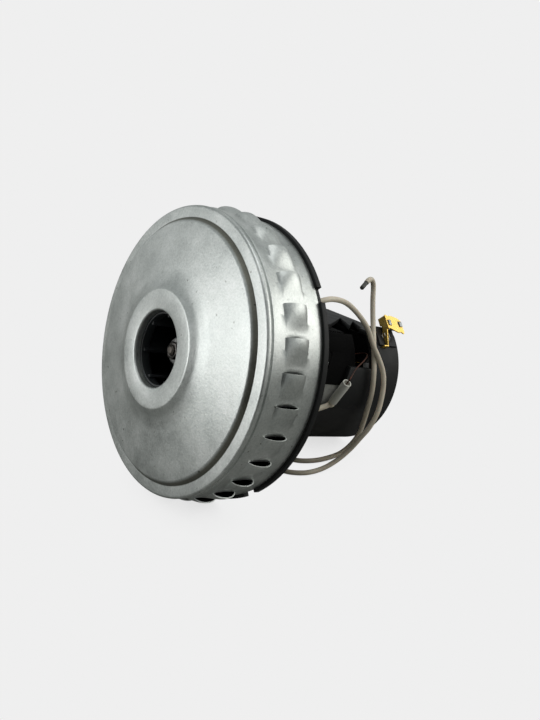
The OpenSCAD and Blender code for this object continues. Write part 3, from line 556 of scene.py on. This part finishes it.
def ring_of(name, mesh, count, material, start=0.0, merge=0.0, solid=None):
    """Copies of a mesh round the shaft, as one plain mesh that lies on the bench."""
    piece = bpy.data.objects.new(name, mesh)
    bpy.context.scene.collection.objects.link(piece)
    ring = piece.modifiers.new("ring", "NODES")
    ring.node_group = RING
    for key, value in (("Count", count), ("Turn", math.radians(360 / count)),
                       ("Start", math.radians(start)), ("Merge distance", merge),
                       ("Material", material)):
        ring[RING_SOCKETS[key]] = value
    if solid:
        sheet = piece.modifiers.new("sheet", "SOLIDIFY")
        sheet.thickness, sheet.offset = solid, -1
        sheet.use_even_offset = True
    return lay_down(evaluated(piece, name))


print("the ring tree has", len(RING.nodes), "nodes")

# %% [markdown]
# Bright zinc plating on rolled sheet is a soft grey metal with a faint green cast. The eye
# sees patches about 18 mm wide, from handling, and a mottle: its crystals are finer than shows
# in the picture, so they are drawn 1 mm wide. Together they move the colour and the
# roughness, and the mottle also bends the reflections. Specks of dust lie on it, and a ring of
# painted shade darkens the step near the rim.

# %% Zinc-plated steel
STEP_SHADE_FROM, STEP_SHADE_TO = 63.6, 67.0


def shaft_place(tree, place):
    """Coordinates in the shaft frame, in millimetres."""
    return node(tree, "ShaderNodeMapping", {"Location": SHAFT.to_translation(),
                                            "Rotation": SHAFT.to_euler(),
                                            "Scale": (MM, MM, MM)},
                {"Vector": place}, vector_type="TEXTURE").outputs[0]


def zinc_plated_steel():
    """Bright zinc plating on pressed sheet: satin, mottled and slightly uneven."""
    material, tree, shader, place = new_material("zinc-plated sheet steel")
    patches = node(tree, "ShaderNodeTexNoise",
                   {"Scale": every(18.18), "Detail": 4.0, "Roughness": 0.6}, {"Vector": place})
    mottle = node(tree, "ShaderNodeTexNoise",
                  {"Scale": every(1.1111), "Detail": 3.0, "Roughness": 0.7}, {"Vector": place})
    both = node(tree, "ShaderNodeMix", {"Factor": 0.45},
                {2: patches.outputs["Fac"], 3: mottle.outputs["Fac"]}, data_type="FLOAT")
    plating = node(tree, "ShaderNodeValToRGB", links={0: both.outputs[0]},
                   stops=[(0.32, "#a8acaa"), (0.5, "#c3c7c4"), (0.68, "#dadcda")])
    specks = node(tree, "ShaderNodeTexNoise", {"Scale": every(3.03), "Detail": 2.0},
                  {"Vector": place})
    dust = node(tree, "ShaderNodeValToRGB", links={0: specks.outputs["Fac"]},
                stops=[(0.71, "#ffffff"), (0.76, "#adada9")])
    across = node(tree, "ShaderNodeVectorMath", {1: (1, 1, 0)}, {0: shaft_place(tree, place)},
                  operation="MULTIPLY")
    radius = node(tree, "ShaderNodeVectorMath", links={0: across.outputs[0]},
                  operation="LENGTH")
    # Painted shade: the colour is darkened in a ring at the step near the rim.
    at_step = node(tree, "ShaderNodeMapRange", {1: STEP_SHADE_FROM, 2: STEP_SHADE_TO},
                   {0: radius.outputs["Value"]})
    grime_and_step_shade = node(tree, "ShaderNodeValToRGB", links={0: at_step.outputs[0]}, stops=[
        (0.2, "#ffffff"), (0.42, "#a8a49b"), (0.76, "#8f8b82"), (0.84, "#ffffff")])
    colour = plating.outputs[0]
    for layer in (dust, grime_and_step_shade):
        colour = node(tree, "ShaderNodeMix", {"Factor": 1.0}, {6: colour, 7: layer.outputs[0]},
                      data_type="RGBA", blend_type="MULTIPLY").outputs[2]
    rough = node(tree, "ShaderNodeMapRange", {1: 0.3, 2: 0.7, 3: 0.36, 4: 0.48},
                 {0: both.outputs[0]})
    bump = node(tree, "ShaderNodeBump", {"Strength": 0.42, "Distance": 0.0002},
                {"Height": mottle.outputs["Fac"]})
    shader.inputs["Metallic"].default_value = 1.0
    tree.links.new(colour, shader.inputs["Base Color"])
    tree.links.new(rough.outputs[0], shader.inputs["Roughness"])
    tree.links.new(bump.outputs[0], shader.inputs["Normal"])
    return material


zinc = zinc_plated_steel()
cover_mesh = ring_of("fan_cover_pressing", slice_mesh, LOUVRES, zinc, LOUVRE_PHI, MERGE,
                     SHEET)
add_piece("fan_cover_pressing", cover_mesh, "frame", zinc, ["fan_cover"])
cover_mesh.set_sharp_from_angle(angle=math.radians(38))  # cut edges stay sharp
print("the cover has", len(cover_mesh.polygons), "faces")

# %% [markdown]
# The plain pieces have their whole form in the model, and drawing them again would add
# nothing, but real edges are never knife-sharp. So a copy of such a mesh is merged, its flat
# faces are made whole again, and a small bevel is run along its edges to catch the light.

# %% Softened copies of the model's pieces
SOFT_FROM, SHARP_FROM = math.radians(32), math.radians(42)


def softened(node_name, width):
    """A copy of a node's mesh with a small bevel on its sharp edges."""
    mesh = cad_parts[node_name].data.copy()
    bm = bmesh.new()
    bm.from_mesh(mesh)
    bmesh.ops.remove_doubles(bm, verts=bm.verts, dist=1e-6)
    bmesh.ops.dissolve_limit(bm, angle_limit=math.radians(0.4), verts=bm.verts,
                             edges=bm.edges, delimit=set())
    for face in bm.faces:
        face.smooth = True
    bm.to_mesh(mesh)
    bm.free()
    mesh.materials.clear()
    piece = bpy.data.objects.new(node_name + "_soft", mesh)
    bpy.context.scene.collection.objects.link(piece)
    bevel = piece.modifiers.new("edges", "BEVEL")
    bevel.width, bevel.segments = width * MM, 2
    bevel.limit_method, bevel.angle_limit = "ANGLE", SOFT_FROM
    bevel.use_clamp_overlap = True
    made = evaluated(piece, node_name + "_body")
    made.set_sharp_from_angle(angle=SHARP_FROM)
    return made


print("a bevel of two segments on edges of more than", round(math.degrees(SOFT_FROM)), "degrees")

# %% [markdown]
# Most of the motor is either a moulded plastic or a plain metal. They differ in colour, in
# gloss and in the size of their grain, so each kind is one function. The plastic's spark-eroded
# grain is drawn 0.7 mm wide, coarser than the real one, and its dust lies in 14 mm clouds. A
# metal's colour and gloss drift over 2.5 mm, as turning, drawing and handling leave them.

# %% Plastics and metals
def cloudy(tree, shader, cloud, stops, rough, bump):
    """Lets a cloudy pattern move the colour and the roughness, and links the bump."""
    colour = node(tree, "ShaderNodeValToRGB", links={0: cloud.outputs["Fac"]}, stops=stops)
    gloss = node(tree, "ShaderNodeMapRange", {1: 0.3, 2: 0.7, 3: rough[0], 4: rough[1]},
                 {0: cloud.outputs["Fac"]})
    tree.links.new(colour.outputs[0], shader.inputs["Base Color"])
    tree.links.new(gloss.outputs[0], shader.inputs["Roughness"])
    tree.links.new(bump.outputs[0], shader.inputs["Normal"])


def moulded_plastic(name, dark, light, rough=(0.5, 0.66), specular=0.32):
    """Injection-moulded plastic: satin, with a fine spark-eroded grain and light dust."""
    material, tree, shader, place = new_material(name)
    cloud = node(tree, "ShaderNodeTexNoise", {"Scale": every(14.286), "Detail": 4.0},
                 {"Vector": place})
    fine = node(tree, "ShaderNodeTexNoise", {"Scale": every(0.7143), "Detail": 2.0},
                {"Vector": place})
    bump = node(tree, "ShaderNodeBump", {"Strength": 0.12, "Distance": 0.0001},
                {"Height": fine.outputs["Fac"]})
    shader.inputs["Specular IOR Level"].default_value = specular
    cloudy(tree, shader, cloud, ((0.3, dark), (0.75, light)), rough, bump)
    return material


def metal(name, dark, light, rough=(0.25, 0.4), size=2.5, strength=0.08, metallic=1.0):
    """A plain metal whose colour and gloss vary a little over the surface."""
    material, tree, shader, place = new_material(name)
    cloud = node(tree, "ShaderNodeTexNoise", {"Scale": every(size), "Detail": 4.0},
                 {"Vector": place})
    bump = node(tree, "ShaderNodeBump", {"Strength": strength, "Distance": 0.0002},
                {"Height": cloud.outputs["Fac"]})
    shader.inputs["Metallic"].default_value = metallic
    cloudy(tree, shader, cloud, ((0.3, dark), (0.7, light)), rough, bump)
    return material


# The housing and the flange: nearly black, with soft broad highlights.
black = moulded_plastic("satin black glass-filled nylon", "#0a0b0b", "#121314")
# The impeller: a smoother mould, so its edges catch narrow highlights.
glossy = moulded_plastic("moulded impeller plastic", "#242628", "#303335", (0.3, 0.42), 0.5)
# Fish paper by the coils: near-black and dead matt as painted shade, so it reads as a dark
# hollow.
shade_card_black = moulded_plastic("black card as painted shade", "#040404", "#070707", (0.8, 0.9), 0.08)
# The sleeve over the splice: an off-white that the dust has greyed.
sleeving = moulded_plastic("white insulating sleeve", "#c9c8bf", "#dddcd2", (0.5, 0.65))
# Brushes of pressed graphite: dark grey with a faint sheen.
carbon_black = moulded_plastic("pressed carbon graphite", "#1b1b1d", "#2c2c2f", (0.45, 0.6))
# Hard-drawn copper: a light orange-red, kept bright by the brushes.
commutator_bars = metal("drawn commutator copper", "#a8673c", "#c58552", (0.3, 0.42))
# Stamped brass strip: a warm yellow, nearly even, slightly dulled by its oxide.
brass = metal("stamped brass sheet", "#dfb854", "#f2d077", (0.3, 0.42), 3.333, 0.03, 0.8)
# Field and armature wire: red-brown enamel over copper.
copper = metal("enamelled copper wire", "#6e3315", "#93491f", (0.25, 0.4))
# The wire to the splice: a thicker, darker enamel, so less of the copper shows.
enamel = metal("dark enamelled wire", "#34190e", "#4a2415", (0.3, 0.45), metallic=0.7)
# Ground and turned steel of bearings, screws and springs: light, with tight highlights.
bright = metal("turned bright steel", "#a8aaab", "#c3c5c6", (0.2, 0.34))
# Tongues of zinc-plated strip: greyer and duller than the cover.
grey_steel = metal("zinc-plated steel strip", "#8d9090", "#a9acab", (0.35, 0.5))
# The nut: dark steel as painted shade, with sharp glints on its flats.
nut_steel_in_painted_shade = metal("dark steel nut in painted shade", "#3d3b39", "#5a5754", (0.22, 0.36))
# The end of the shaft: turned, a little brown with age.
turned_end = metal("turned shaft end", "#56514d", "#726c66", (0.36, 0.5))
# The washer: dull grey, with small marks.
washer_steel = metal("dull washer steel", "#7b7b79", "#979795", (0.36, 0.5), 1.4286)
print("materials so far:", len(bpy.data.materials))

# %% [markdown]
# The stator and the armature are stacks of punched sheets, 0.5 mm each. Drawing 68 sheets as
# meshes would show nothing more than fine lines, so a band texture along the shaft draws them
# in the finish, with a stain of the dipping varnish over it.

# %% Stacked sheets
# The bands repeat every pi / (10 * scale) millimetres, which is 0.5 mm, one sheet. The blots
# of the stain are 1 / scale millimetres wide, nearly 3 mm.
LINE_SCALE, STAIN_SCALE = 0.63, 0.35


def stacked_sheets():
    """Punched sheets on top of each other, seen as fine lines, slightly stained."""
    material, tree, shader, place = new_material("stacked lamination steel")
    along = shaft_place(tree, place)
    lines = node(tree, "ShaderNodeTexWave",
                 {"Scale": LINE_SCALE, "Distortion": 0.3, "Detail": 1.0},
                 {"Vector": along}, bands_direction="Z")
    stain = node(tree, "ShaderNodeTexNoise", {"Scale": STAIN_SCALE, "Detail": 3.0},
                 {"Vector": along})
    both = node(tree, "ShaderNodeMix", {"Factor": 0.5},
                {2: lines.outputs["Fac"], 3: stain.outputs["Fac"]}, data_type="FLOAT")
    # Partly painted light: the pale grey lifts the stack where the flange shades it.
    colour = node(tree, "ShaderNodeValToRGB", links={0: both.outputs[0]},
                  stops=[(0.2, "#84847f"), (0.75, "#d0d1cc")])
    bump = node(tree, "ShaderNodeBump", {"Strength": 0.5, "Distance": 0.0001},
                {"Height": lines.outputs["Fac"]})
    shader.inputs["Metallic"].default_value = 0.85
    shader.inputs["Roughness"].default_value = 0.5
    tree.links.new(colour.outputs[0], shader.inputs["Base Color"])
    tree.links.new(bump.outputs[0], shader.inputs["Normal"])
    return material


iron = stacked_sheets()
print("made", iron.name)

# %% [markdown]
# The flange and the motor housing are the two large mouldings. Their forms are all in the
# model, down to ribs and notches, so they are softened copies: 0.35 to 0.4 mm is what such a
# mould has on its edges, and it draws the thin light lines seen along them.

# %% Flange and housing
for name, width in (("flange", 0.35), ("motor_housing", 0.4)):
    add_piece(name + "_moulding", softened(name, width), "frame", black,
              [name])
    print(name, "has edges of", width, "mm")

# %% [markdown]
# The brush gear shows well from the side. Each brush stands in a holder with a brass tube and
# a brass cap. Its pieces are drawn in the brush's own frame, where x points out of the motor
# and z runs along the shaft. A plate is drawn as a flat curve with holes, which is given the
# sheet's thickness and a small bevel, because that is how a stamping is drawn and cut.

# %% Plates and blocks
BRUSH_PHI, BRUSH_Z = 47, 117
PLATE_EDGE = 0.12


def brush_frame(side):
    """Lays millimetres in the frame of brush 0 or 1 on the bench; the second is a mirror
    image, as the two stampings are."""
    return (SHAFT @ Matrix.Rotation(math.radians(BRUSH_PHI - 90 + 180 * side), 4, "Z")
            @ Matrix.Scale(-1 if side else 1, 4, (0, 1, 0)))


def outline_plate(outline, holes, x1, x2):
    """A plate drawn as an outline in y and z with holes, from x1 to x2, with soft edges."""
    curve = bpy.data.curves.new("plate", "CURVE")
    curve.dimensions, curve.fill_mode = "2D", "BOTH"
    curve.extrude = (x2 - x1) / 2 - PLATE_EDGE
    curve.bevel_depth, curve.bevel_resolution = PLATE_EDGE, 1
    curve.offset = -PLATE_EDGE
    for points in [outline] + holes:
        spline = curve.splines.new("POLY")
        spline.points.add(len(points) - 1)
        for point, (y, z) in zip(spline.points, points):
            point.co = (y, z, 0, 1)
        spline.use_cyclic_u = True
    piece = bpy.data.objects.new("plate", curve)
    bpy.context.scene.collection.objects.link(piece)
    mesh = evaluated(piece, "plate")
    mesh.transform(Matrix(((0, 0, 1, (x1 + x2) / 2), (1, 0, 0, 0), (0, 1, 0, 0), (0, 0, 0, 1))))
    return mesh


def rounded_block(low, high, bevel=PLATE_EDGE):
    """A block between two corners with bevelled edges."""
    bm = bmesh.new()
    bmesh.ops.create_cube(bm, size=1)
    for vertex in bm.verts:
        vertex.co = Vector([(a + b) / 2 + (b - a) * c
                            for a, b, c in zip(low, high, vertex.co)])
    bmesh.ops.bevel(bm, geom=bm.edges[:] + bm.verts[:], offset=bevel, segments=2,
                    profile=0.5, affect="EDGES")
    mesh = bpy.data.meshes.new("block")
    bm.to_mesh(mesh)
    bm.free()
    return mesh


def joined(name, meshes, place, angle=40):
    """One mesh of several closed ones, laid on the bench, with its faces turned outwards."""
    bm = bmesh.new()
    for mesh in meshes:
        bm.from_mesh(mesh)
    bmesh.ops.remove_doubles(bm, verts=bm.verts, dist=1e-5)
    bm.transform(place)
    bmesh.ops.recalc_face_normals(bm, faces=bm.faces)
    for face in bm.faces:
        face.smooth = True
    mesh = bpy.data.meshes.new(name)
    bm.to_mesh(mesh)
    bm.free()
    mesh.set_sharp_from_angle(angle=math.radians(angle))
    return mesh


print("a plate's edges are softened by", PLATE_EDGE, "mm")

# %% [markdown]
# The cap is stamped from brass sheet: its face has a wavy edge and two slots, a side wall runs
# down its front edge, and a leg leans from there to a foot on the tube. Steel tongues stand up
# through the slots. The wavy edge is a smooth curve through the corners seen in the photo.

# %% Brass caps and their tongues
CAP_R, CAP_T, CAP_FRONT, CAP_TOP, CAP_W, CAP_LOW = 48, 0.7, 114.55, -10.9, 13.7, 42.6
LUG_W, LUG_H, LUG_Y, LUG_T, LUG_ROOM = 2.0, 3.2, -7.8, 0.7, 0.15
LUG_Z = (CAP_FRONT + 1.4, CAP_FRONT + CAP_W - 2.9)
WALL_END, LEG_TOP, LEG_END, LEG_LEAN = -6.1, -6.4, 7.1, 0.3


def wavy(points, steps=5):
    """A closed smooth outline through a few corners."""
    n = len(points)
    ring = [np.array(points[i % n], float) for i in range(-1, n + 2)]
    out = []
    for a, b, c, d in zip(ring, ring[1:], ring[2:], ring[3:]):
        for t in np.linspace(0, 1, steps, endpoint=False):
            out.append(tuple(0.5 * (2 * b + (c - a) * t + (2 * a - 5 * b + 4 * c - d) * t * t
                                    + (3 * b - a - 3 * c + d) * t ** 3)))
    return out


FACE_EDGE = wavy([(0.0, 0.1), (0.35, 2.6), (0.0, 4.4), (0.3, 7.5), (0.9, 10.5), (2.2, 12.8),
                  (3.4, 13.6), (6.0, 13.45), (8.6, 13.6), (10.3, 13.3), (10.5, 12.3), (9.8, 10.9),
                  (10.2, 9.2), (10.0, 7.4), (9.2, 5.0), (8.6, 3.4), (8.3, 1.6), (8.1, 0.1),
                  (3.5, 0.0)])


def slot_hole(z, wide):
    """A slot round a tongue: it is wider in front of the tongue than behind it."""
    y1, y2 = LUG_Y - LUG_ROOM - CAP_TOP, LUG_Y + LUG_H + LUG_ROOM - CAP_TOP
    z -= CAP_FRONT
    return [(y1, z - wide), (y1, z + LUG_W + LUG_ROOM), (y2, z + LUG_W + LUG_ROOM),
            (y2, z - wide * 0.4), ((y1 + y2) / 2, z - wide)]


def cap_parts():
    """The face of a cap, its side wall, its leg and its foot."""
    front, back = CAP_FRONT + 0.05, CAP_FRONT + 0.75
    holes = [slot_hole(LUG_Z[0], 0.6), slot_hole(LUG_Z[1], 1.0)]
    face = outline_plate(FACE_EDGE, holes, CAP_R - CAP_T, CAP_R)
    face.transform(Matrix.Translation((0, CAP_TOP, CAP_FRONT)))
    wall = rounded_block((CAP_LOW, CAP_TOP + 0.2, front), (CAP_R - 0.5, WALL_END, back))
    leg = rounded_block((44.3, LEG_TOP, front), (CAP_R - 0.05, LEG_END, back))
    for vertex in leg.vertices:
        vertex.co.x -= (vertex.co.y - LEG_TOP) * LEG_LEAN
    foot = rounded_block((41.6, LEG_END - CAP_T, CAP_FRONT - 3), (44.2, LEG_END, back), 0.15)
    return [face, wall, leg, foot]


def tongue_parts():
    """The two tongues through a cap's slots, and the bar that joins them below it."""
    tongues = [rounded_block((CAP_LOW, LUG_Y, z), (CAP_R + 0.6, LUG_Y + LUG_H, z + LUG_W), 0.15)
               for z in LUG_Z]
    bar = rounded_block((CAP_LOW, LUG_Y, LUG_Z[0]),
                        (CAP_LOW + LUG_T, LUG_Y + LUG_H, LUG_Z[1] + LUG_W))
    return tongues + [bar]


print("the cap's edge has", len(FACE_EDGE), "points")

# %% [markdown]
# Under the cap, a coil spring presses the carbon on the commutator, and a lid closes the
# holder round it. The spring is one tube along a helix. The model's holders and tubes fill
# the cap, so their outer ends are drawn in, which leaves the hollow seen under its face.

# %% Brushes, springs, holders and clips
SPRING_TURNS, SPRING_R, SPRING_START, SPRING_LONG = 7, 2.55, 31.3, 13.4
SPRING_WIRE_R = 0.3
HOLDER_TOP, LID = 42.1, (42.2, 42.8)
LID_EDGE = [(-5.8, 109.6), (5.8, 109.6), (5.8, 124.4), (-5.8, 124.4)]
LID_HOLE = [(3.1 * math.cos(t), BRUSH_Z + 3.1 * math.sin(t))
            for t in np.linspace(0, 2 * math.pi, 24, endpoint=False)]


def drawn_in(mesh, place):
    """Draws the outer end of a holder or tube in, to leave room under the cap's face."""
    mesh.transform(place.inverted())
    for vertex in mesh.vertices:
        if vertex.co.x > HOLDER_TOP:
            vertex.co.x = HOLDER_TOP + (vertex.co.x - HOLDER_TOP) * 0.1
    mesh.transform(place)
    return mesh


def spring_line(place):
    """The helix of a brush spring, on the bench."""
    helix = []
    for t in np.linspace(0, 1, SPRING_TURNS * 16 + 1):
        a = 2 * math.pi * SPRING_TURNS * t
        helix.append(place @ Vector((SPRING_START + SPRING_LONG * t, SPRING_R * math.cos(a),
                                     BRUSH_Z + SPRING_R * math.sin(a))))
    return helix


for side in (0, 1):
    place = brush_frame(side)
    number = side + 1
    name = f"brush_cap_{number}_stamping"
    add_piece(name, joined(name, cap_parts(), place, 20), "frame", brass,
              [f"brush_cap_{number}"])
    name = f"cap_lugs_{number}_bracket"
    add_piece(name, joined(name, tongue_parts(), place), "frame", grey_steel,
              [f"cap_lugs_{number}"])
    name = f"brush_spring_{number}_coil"
    add_piece(name, tube_mesh(name, spring_line(place), SPRING_WIRE_R * MM, 8),
              f"brush_{number}", bright, [f"brush_spring_{number}"])
    lid = outline_plate(LID_EDGE, [LID_HOLE], *LID)
    lid.transform(place)
    holder = drawn_in(softened(f"brush_holder_{number}", 0.5), place)
    name = f"brush_holder_{number}_body"
    add_piece(name, joined(name, [holder, lid], Matrix()), "frame", black,
              [f"brush_holder_{number}"])
    tube = drawn_in(softened(f"brush_tube_{number}", 0.1), place)
    add_piece(f"brush_tube_{number}_body", tube, "frame", brass,
              [f"brush_tube_{number}"])
    add_piece(f"lead_clip_{number}_body", softened(f"lead_clip_{number}", 0.3), "frame", black,
              [f"lead_clip_{number}"])
    add_piece(f"carbon_brush_{number}_block", softened(f"carbon_brush_{number}", 0.25),
              f"brush_{number}", carbon_black, [f"carbon_brush_{number}"])
print("brush gear: 2 caps, 2 brackets, 2 springs of", SPRING_TURNS, "turns")

# %% [markdown]
# The windings are drawn as what they are, wire by wire, because a smooth ring in their place
# looks moulded. A field coil is a saddle: it runs through two slots of the stack and bends
# round the bore at each end, and its turns nest in five layers of seven.

# %% Field coils
STACK_Z, STACK_END = 52, 86
WIRE_R, BEND, RISE = 0.46, 4, 2
LAYERS, NESTED = 5, 7


def saddle(r, half, reach):
    """One closed turn: up one slot, round the bore, down the other slot and back."""
    top, low = STACK_END + reach, STACK_Z - reach
    quarter = [math.pi / 2 * t for t in (0.25, 0.5, 0.75, 1.0)]
    bend = [(half - BEND * (1 - math.cos(a)), RISE * math.sin(a)) for a in quarter]
    flat = np.linspace(half - 2 * BEND, 2 * BEND - half, 7)
    line = [(half, low + RISE), (half, top - RISE)]
    line += [(x, top - RISE + z) for x, z in bend]
    line += [(x, top) for x in flat]
    line += [(-x, top - RISE + z) for x, z in bend[::-1]]
    line += [(-half, top - RISE), (-half, low + RISE)]
    line += [(-x, low + RISE - z) for x, z in bend]
    line += [(x, low) for x in flat[::-1]]
    line += [(x, low + RISE - z) for x, z in bend[::-1]]
    line += [(half, low + RISE)]
    return [(r, phi, z) for phi, z in line]


for number, middle in ((1, 90), (2, 270)):
    turns = []
    for layer in range(LAYERS):
        for nest in range(NESTED):
            path = saddle(22.3 + 0.95 * layer, 37 + 3.2 * nest, 1.6 + 0.92 * nest)
            turns.append(tube_mesh("turn", [polar(r, middle + phi, z) for r, phi, z in path],
                                   WIRE_R, 7))
    name = f"field_coil_{number}_turns"
    add_piece(name, joined(name, turns, SHAFT), "frame", copper,
              [f"field_coil_{number}"])
    print(name, "has", len(turns), "turns")

# %% [markdown]
# The armature has the same hank of wire from every slot to the fifth next one. So one hank of
# six turns is made, which passes over the end of the stack close to the shaft, and the ring
# tree turns it round the shaft.

# %% Armature winding
HANKS, HANK_TURNS, HANK_WIRE_R = 12, 6, 0.4
hank = bmesh.new()
for k in range(HANK_TURNS):
    r_slot, phi_slot = 12.6 + 0.42 * k, 2.52 * (k % 3 - 1)
    over = [(r_slot - (3.2 - 0.5 * k) * math.sin(math.pi * t), 150 * t + phi_slot,
             0.8 + (1.2 + 0.7 * k) * math.sin(math.pi * t) ** 0.6) for t in np.linspace(0, 1, 11)]
    path = [polar(r, phi, STACK_END + z) for r, phi, z in over]
    path += [polar(r, phi, STACK_Z - z) for r, phi, z in over[::-1]]
    hank.from_mesh(tube_mesh("turn", path + path[:1], HANK_WIRE_R, 6))
hank_mesh = bpy.data.meshes.new("hank")
hank.to_mesh(hank_mesh)
hank.free()
add_piece("armature_winding_turns",
          ring_of("armature_winding_turns", hank_mesh, HANKS, copper),
          "rotor", copper, ["armature_winding"])
print("the armature has", HANKS, "hanks of", len(hank_mesh.polygons), "faces")

# %% [markdown]
# The rest of the motor is turned, stacked or moulded to the very form that the model has. So
# its pieces are softened copies too, with edges as soft as each way of making leaves them: a
# tenth of a millimetre on a turned part, and up to three tenths on a screw's head.

# %% Rotor, stack and small parts
for name, width, finish, body in (
        ("impeller_shroud", 0.15, glossy, "rotor"), ("impeller_vanes", 0.2, glossy, "rotor"),
        ("impeller_back", 0.25, glossy, "rotor"), ("hub_nut", 0.3, nut_steel_in_painted_shade, "rotor"),
        ("hub_washer", 0.15, washer_steel, "rotor"), ("shaft", 0.2, turned_end, "rotor"),
        ("rotor_spacer", 0.1, bright, "rotor"), ("armature_core", 0.1, iron, "rotor"),
        ("commutator", 0.12, commutator_bars, "rotor"),
        ("front_inner_race", 0.3, bright, "rotor"), ("rear_inner_race", 0.3, bright, "rotor"),
        ("front_bearing", 0.2, bright, "frame"), ("rear_bearing", 0.2, bright, "frame"),
        ("stator_core", 0.15, iron, "frame"), ("housing_screw_1", 0.3, bright, "frame"),
        ("housing_screw_2", 0.3, bright, "frame"), ("housing_screw_3", 0.3, bright, "frame"),
        ("housing_screw_4", 0.3, bright, "frame"), ("splice_sleeve", 0.25, sleeving, "frame")):
    add_piece(name + "_body", softened(name, width), body, finish, [name])
print("softened copies so far:", sum(m.name.endswith("_body") for m in bpy.data.meshes))

# %% [markdown]
# Black card stands by the windings: a cover beside each coil, a sheet on the flat of the
# stack, and a card behind the coils, which keeps the light of the vents off them. The card's
# near-black is painted shade, so the windows read as a dark hollow.

# %% Cards of painted shade
CARD_Z = (104, 104.6)
END_CARD = [(-25, -27.3), (25, -27.3), (33.5, -19.5), (24, -14), (12, -19.5), (0, -22.5),
            (-12, -19.5), (-24, -14), (-33.5, -19.5)]
for number, turn in ((1, 0), (2, 180)):
    card = outline_plate(END_CARD, [], *CARD_Z)
    card.transform(Matrix(((0, 1, 0, 0), (0, 0, 1, 0), (1, 0, 0, 0), (0, 0, 0, 1))))
    sheet = rounded_block((-28, -27.2, 51.5), (28, -26.65, 86.5), 0.1)
    edge = rounded_block((38.7, -4.5, 52), (39.1, 4.5, 86), 0.1)
    edge.transform(Matrix.Rotation(math.radians(-25), 4, "Z"))
    for mesh in (card, sheet, edge):
        mesh.transform(SHAFT @ Matrix.Rotation(math.radians(turn), 4, "Z"))
    name = f"coil_cover_{number}_shade_cards"
    cover = softened(f"coil_cover_{number}", 0.3)
    add_piece(name, joined(name, [cover, card, sheet, edge], Matrix()), "frame", shade_card_black,
              [f"coil_cover_{number}"])
print("cards: 2 covers with their sheets")

# %% [markdown]
# A thin enamelled wire comes out of the winding into the white sleeve, where it is spliced to
# a short lead. That lead leaves the sleeve through a bead of sealant and goes behind the
# flange.

# %% Splice
SLEEVE_LONG, ENAMEL_R, BEAD_R = 16.5, 0.38, 2.0
SLEEVE_TOP = polar(54.6, 82.8, 71)
DOWN = (polar(45.9, 98, 74.4) - SLEEVE_TOP).normalized()
SLEEVE_LOW = SLEEVE_TOP + SLEEVE_LONG * DOWN
wire = [SLEEVE_TOP + 4 * DOWN, SLEEVE_TOP - 2 * DOWN, polar(49.5, 74.5, 82),
        polar(47.5, 69, 90), polar(44.5, 64.5, 96), polar(40, 62, 99), polar(35, 61, 98.5),
        polar(29.6, 62, 94.5)]
wire_line = [SHAFT @ Vector(q) for q in smooth_line(wire, 5)]
add_piece("magnet_wire_lead", tube_mesh("magnet_wire_lead", wire_line, ENAMEL_R * MM, 10),
          "frame", enamel, ["magnet_wire"])
stub = smooth_line([SLEEVE_LOW - DOWN, SLEEVE_LOW + 2 * DOWN, polar(48, 112, 42.3),
                    polar(57, 104.5, 37.4)], 6)
bead = bmesh.new()
bmesh.ops.create_uvsphere(bead, u_segments=24, v_segments=14, radius=BEAD_R,
                          matrix=Matrix.Translation(SLEEVE_LOW + 1.9 * DOWN))
bead_mesh = bpy.data.meshes.new("bead")
bead.to_mesh(bead_mesh)
bead.free()
add_piece("lead_stub_insulation",
          joined("lead_stub_insulation", [tube_mesh("stub", stub, LEAD_D / 2), bead_mesh], SHAFT),
          "frame", lead_rubber, ["lead_stub"])
print("splice: wire of", len(wire_line), "points")
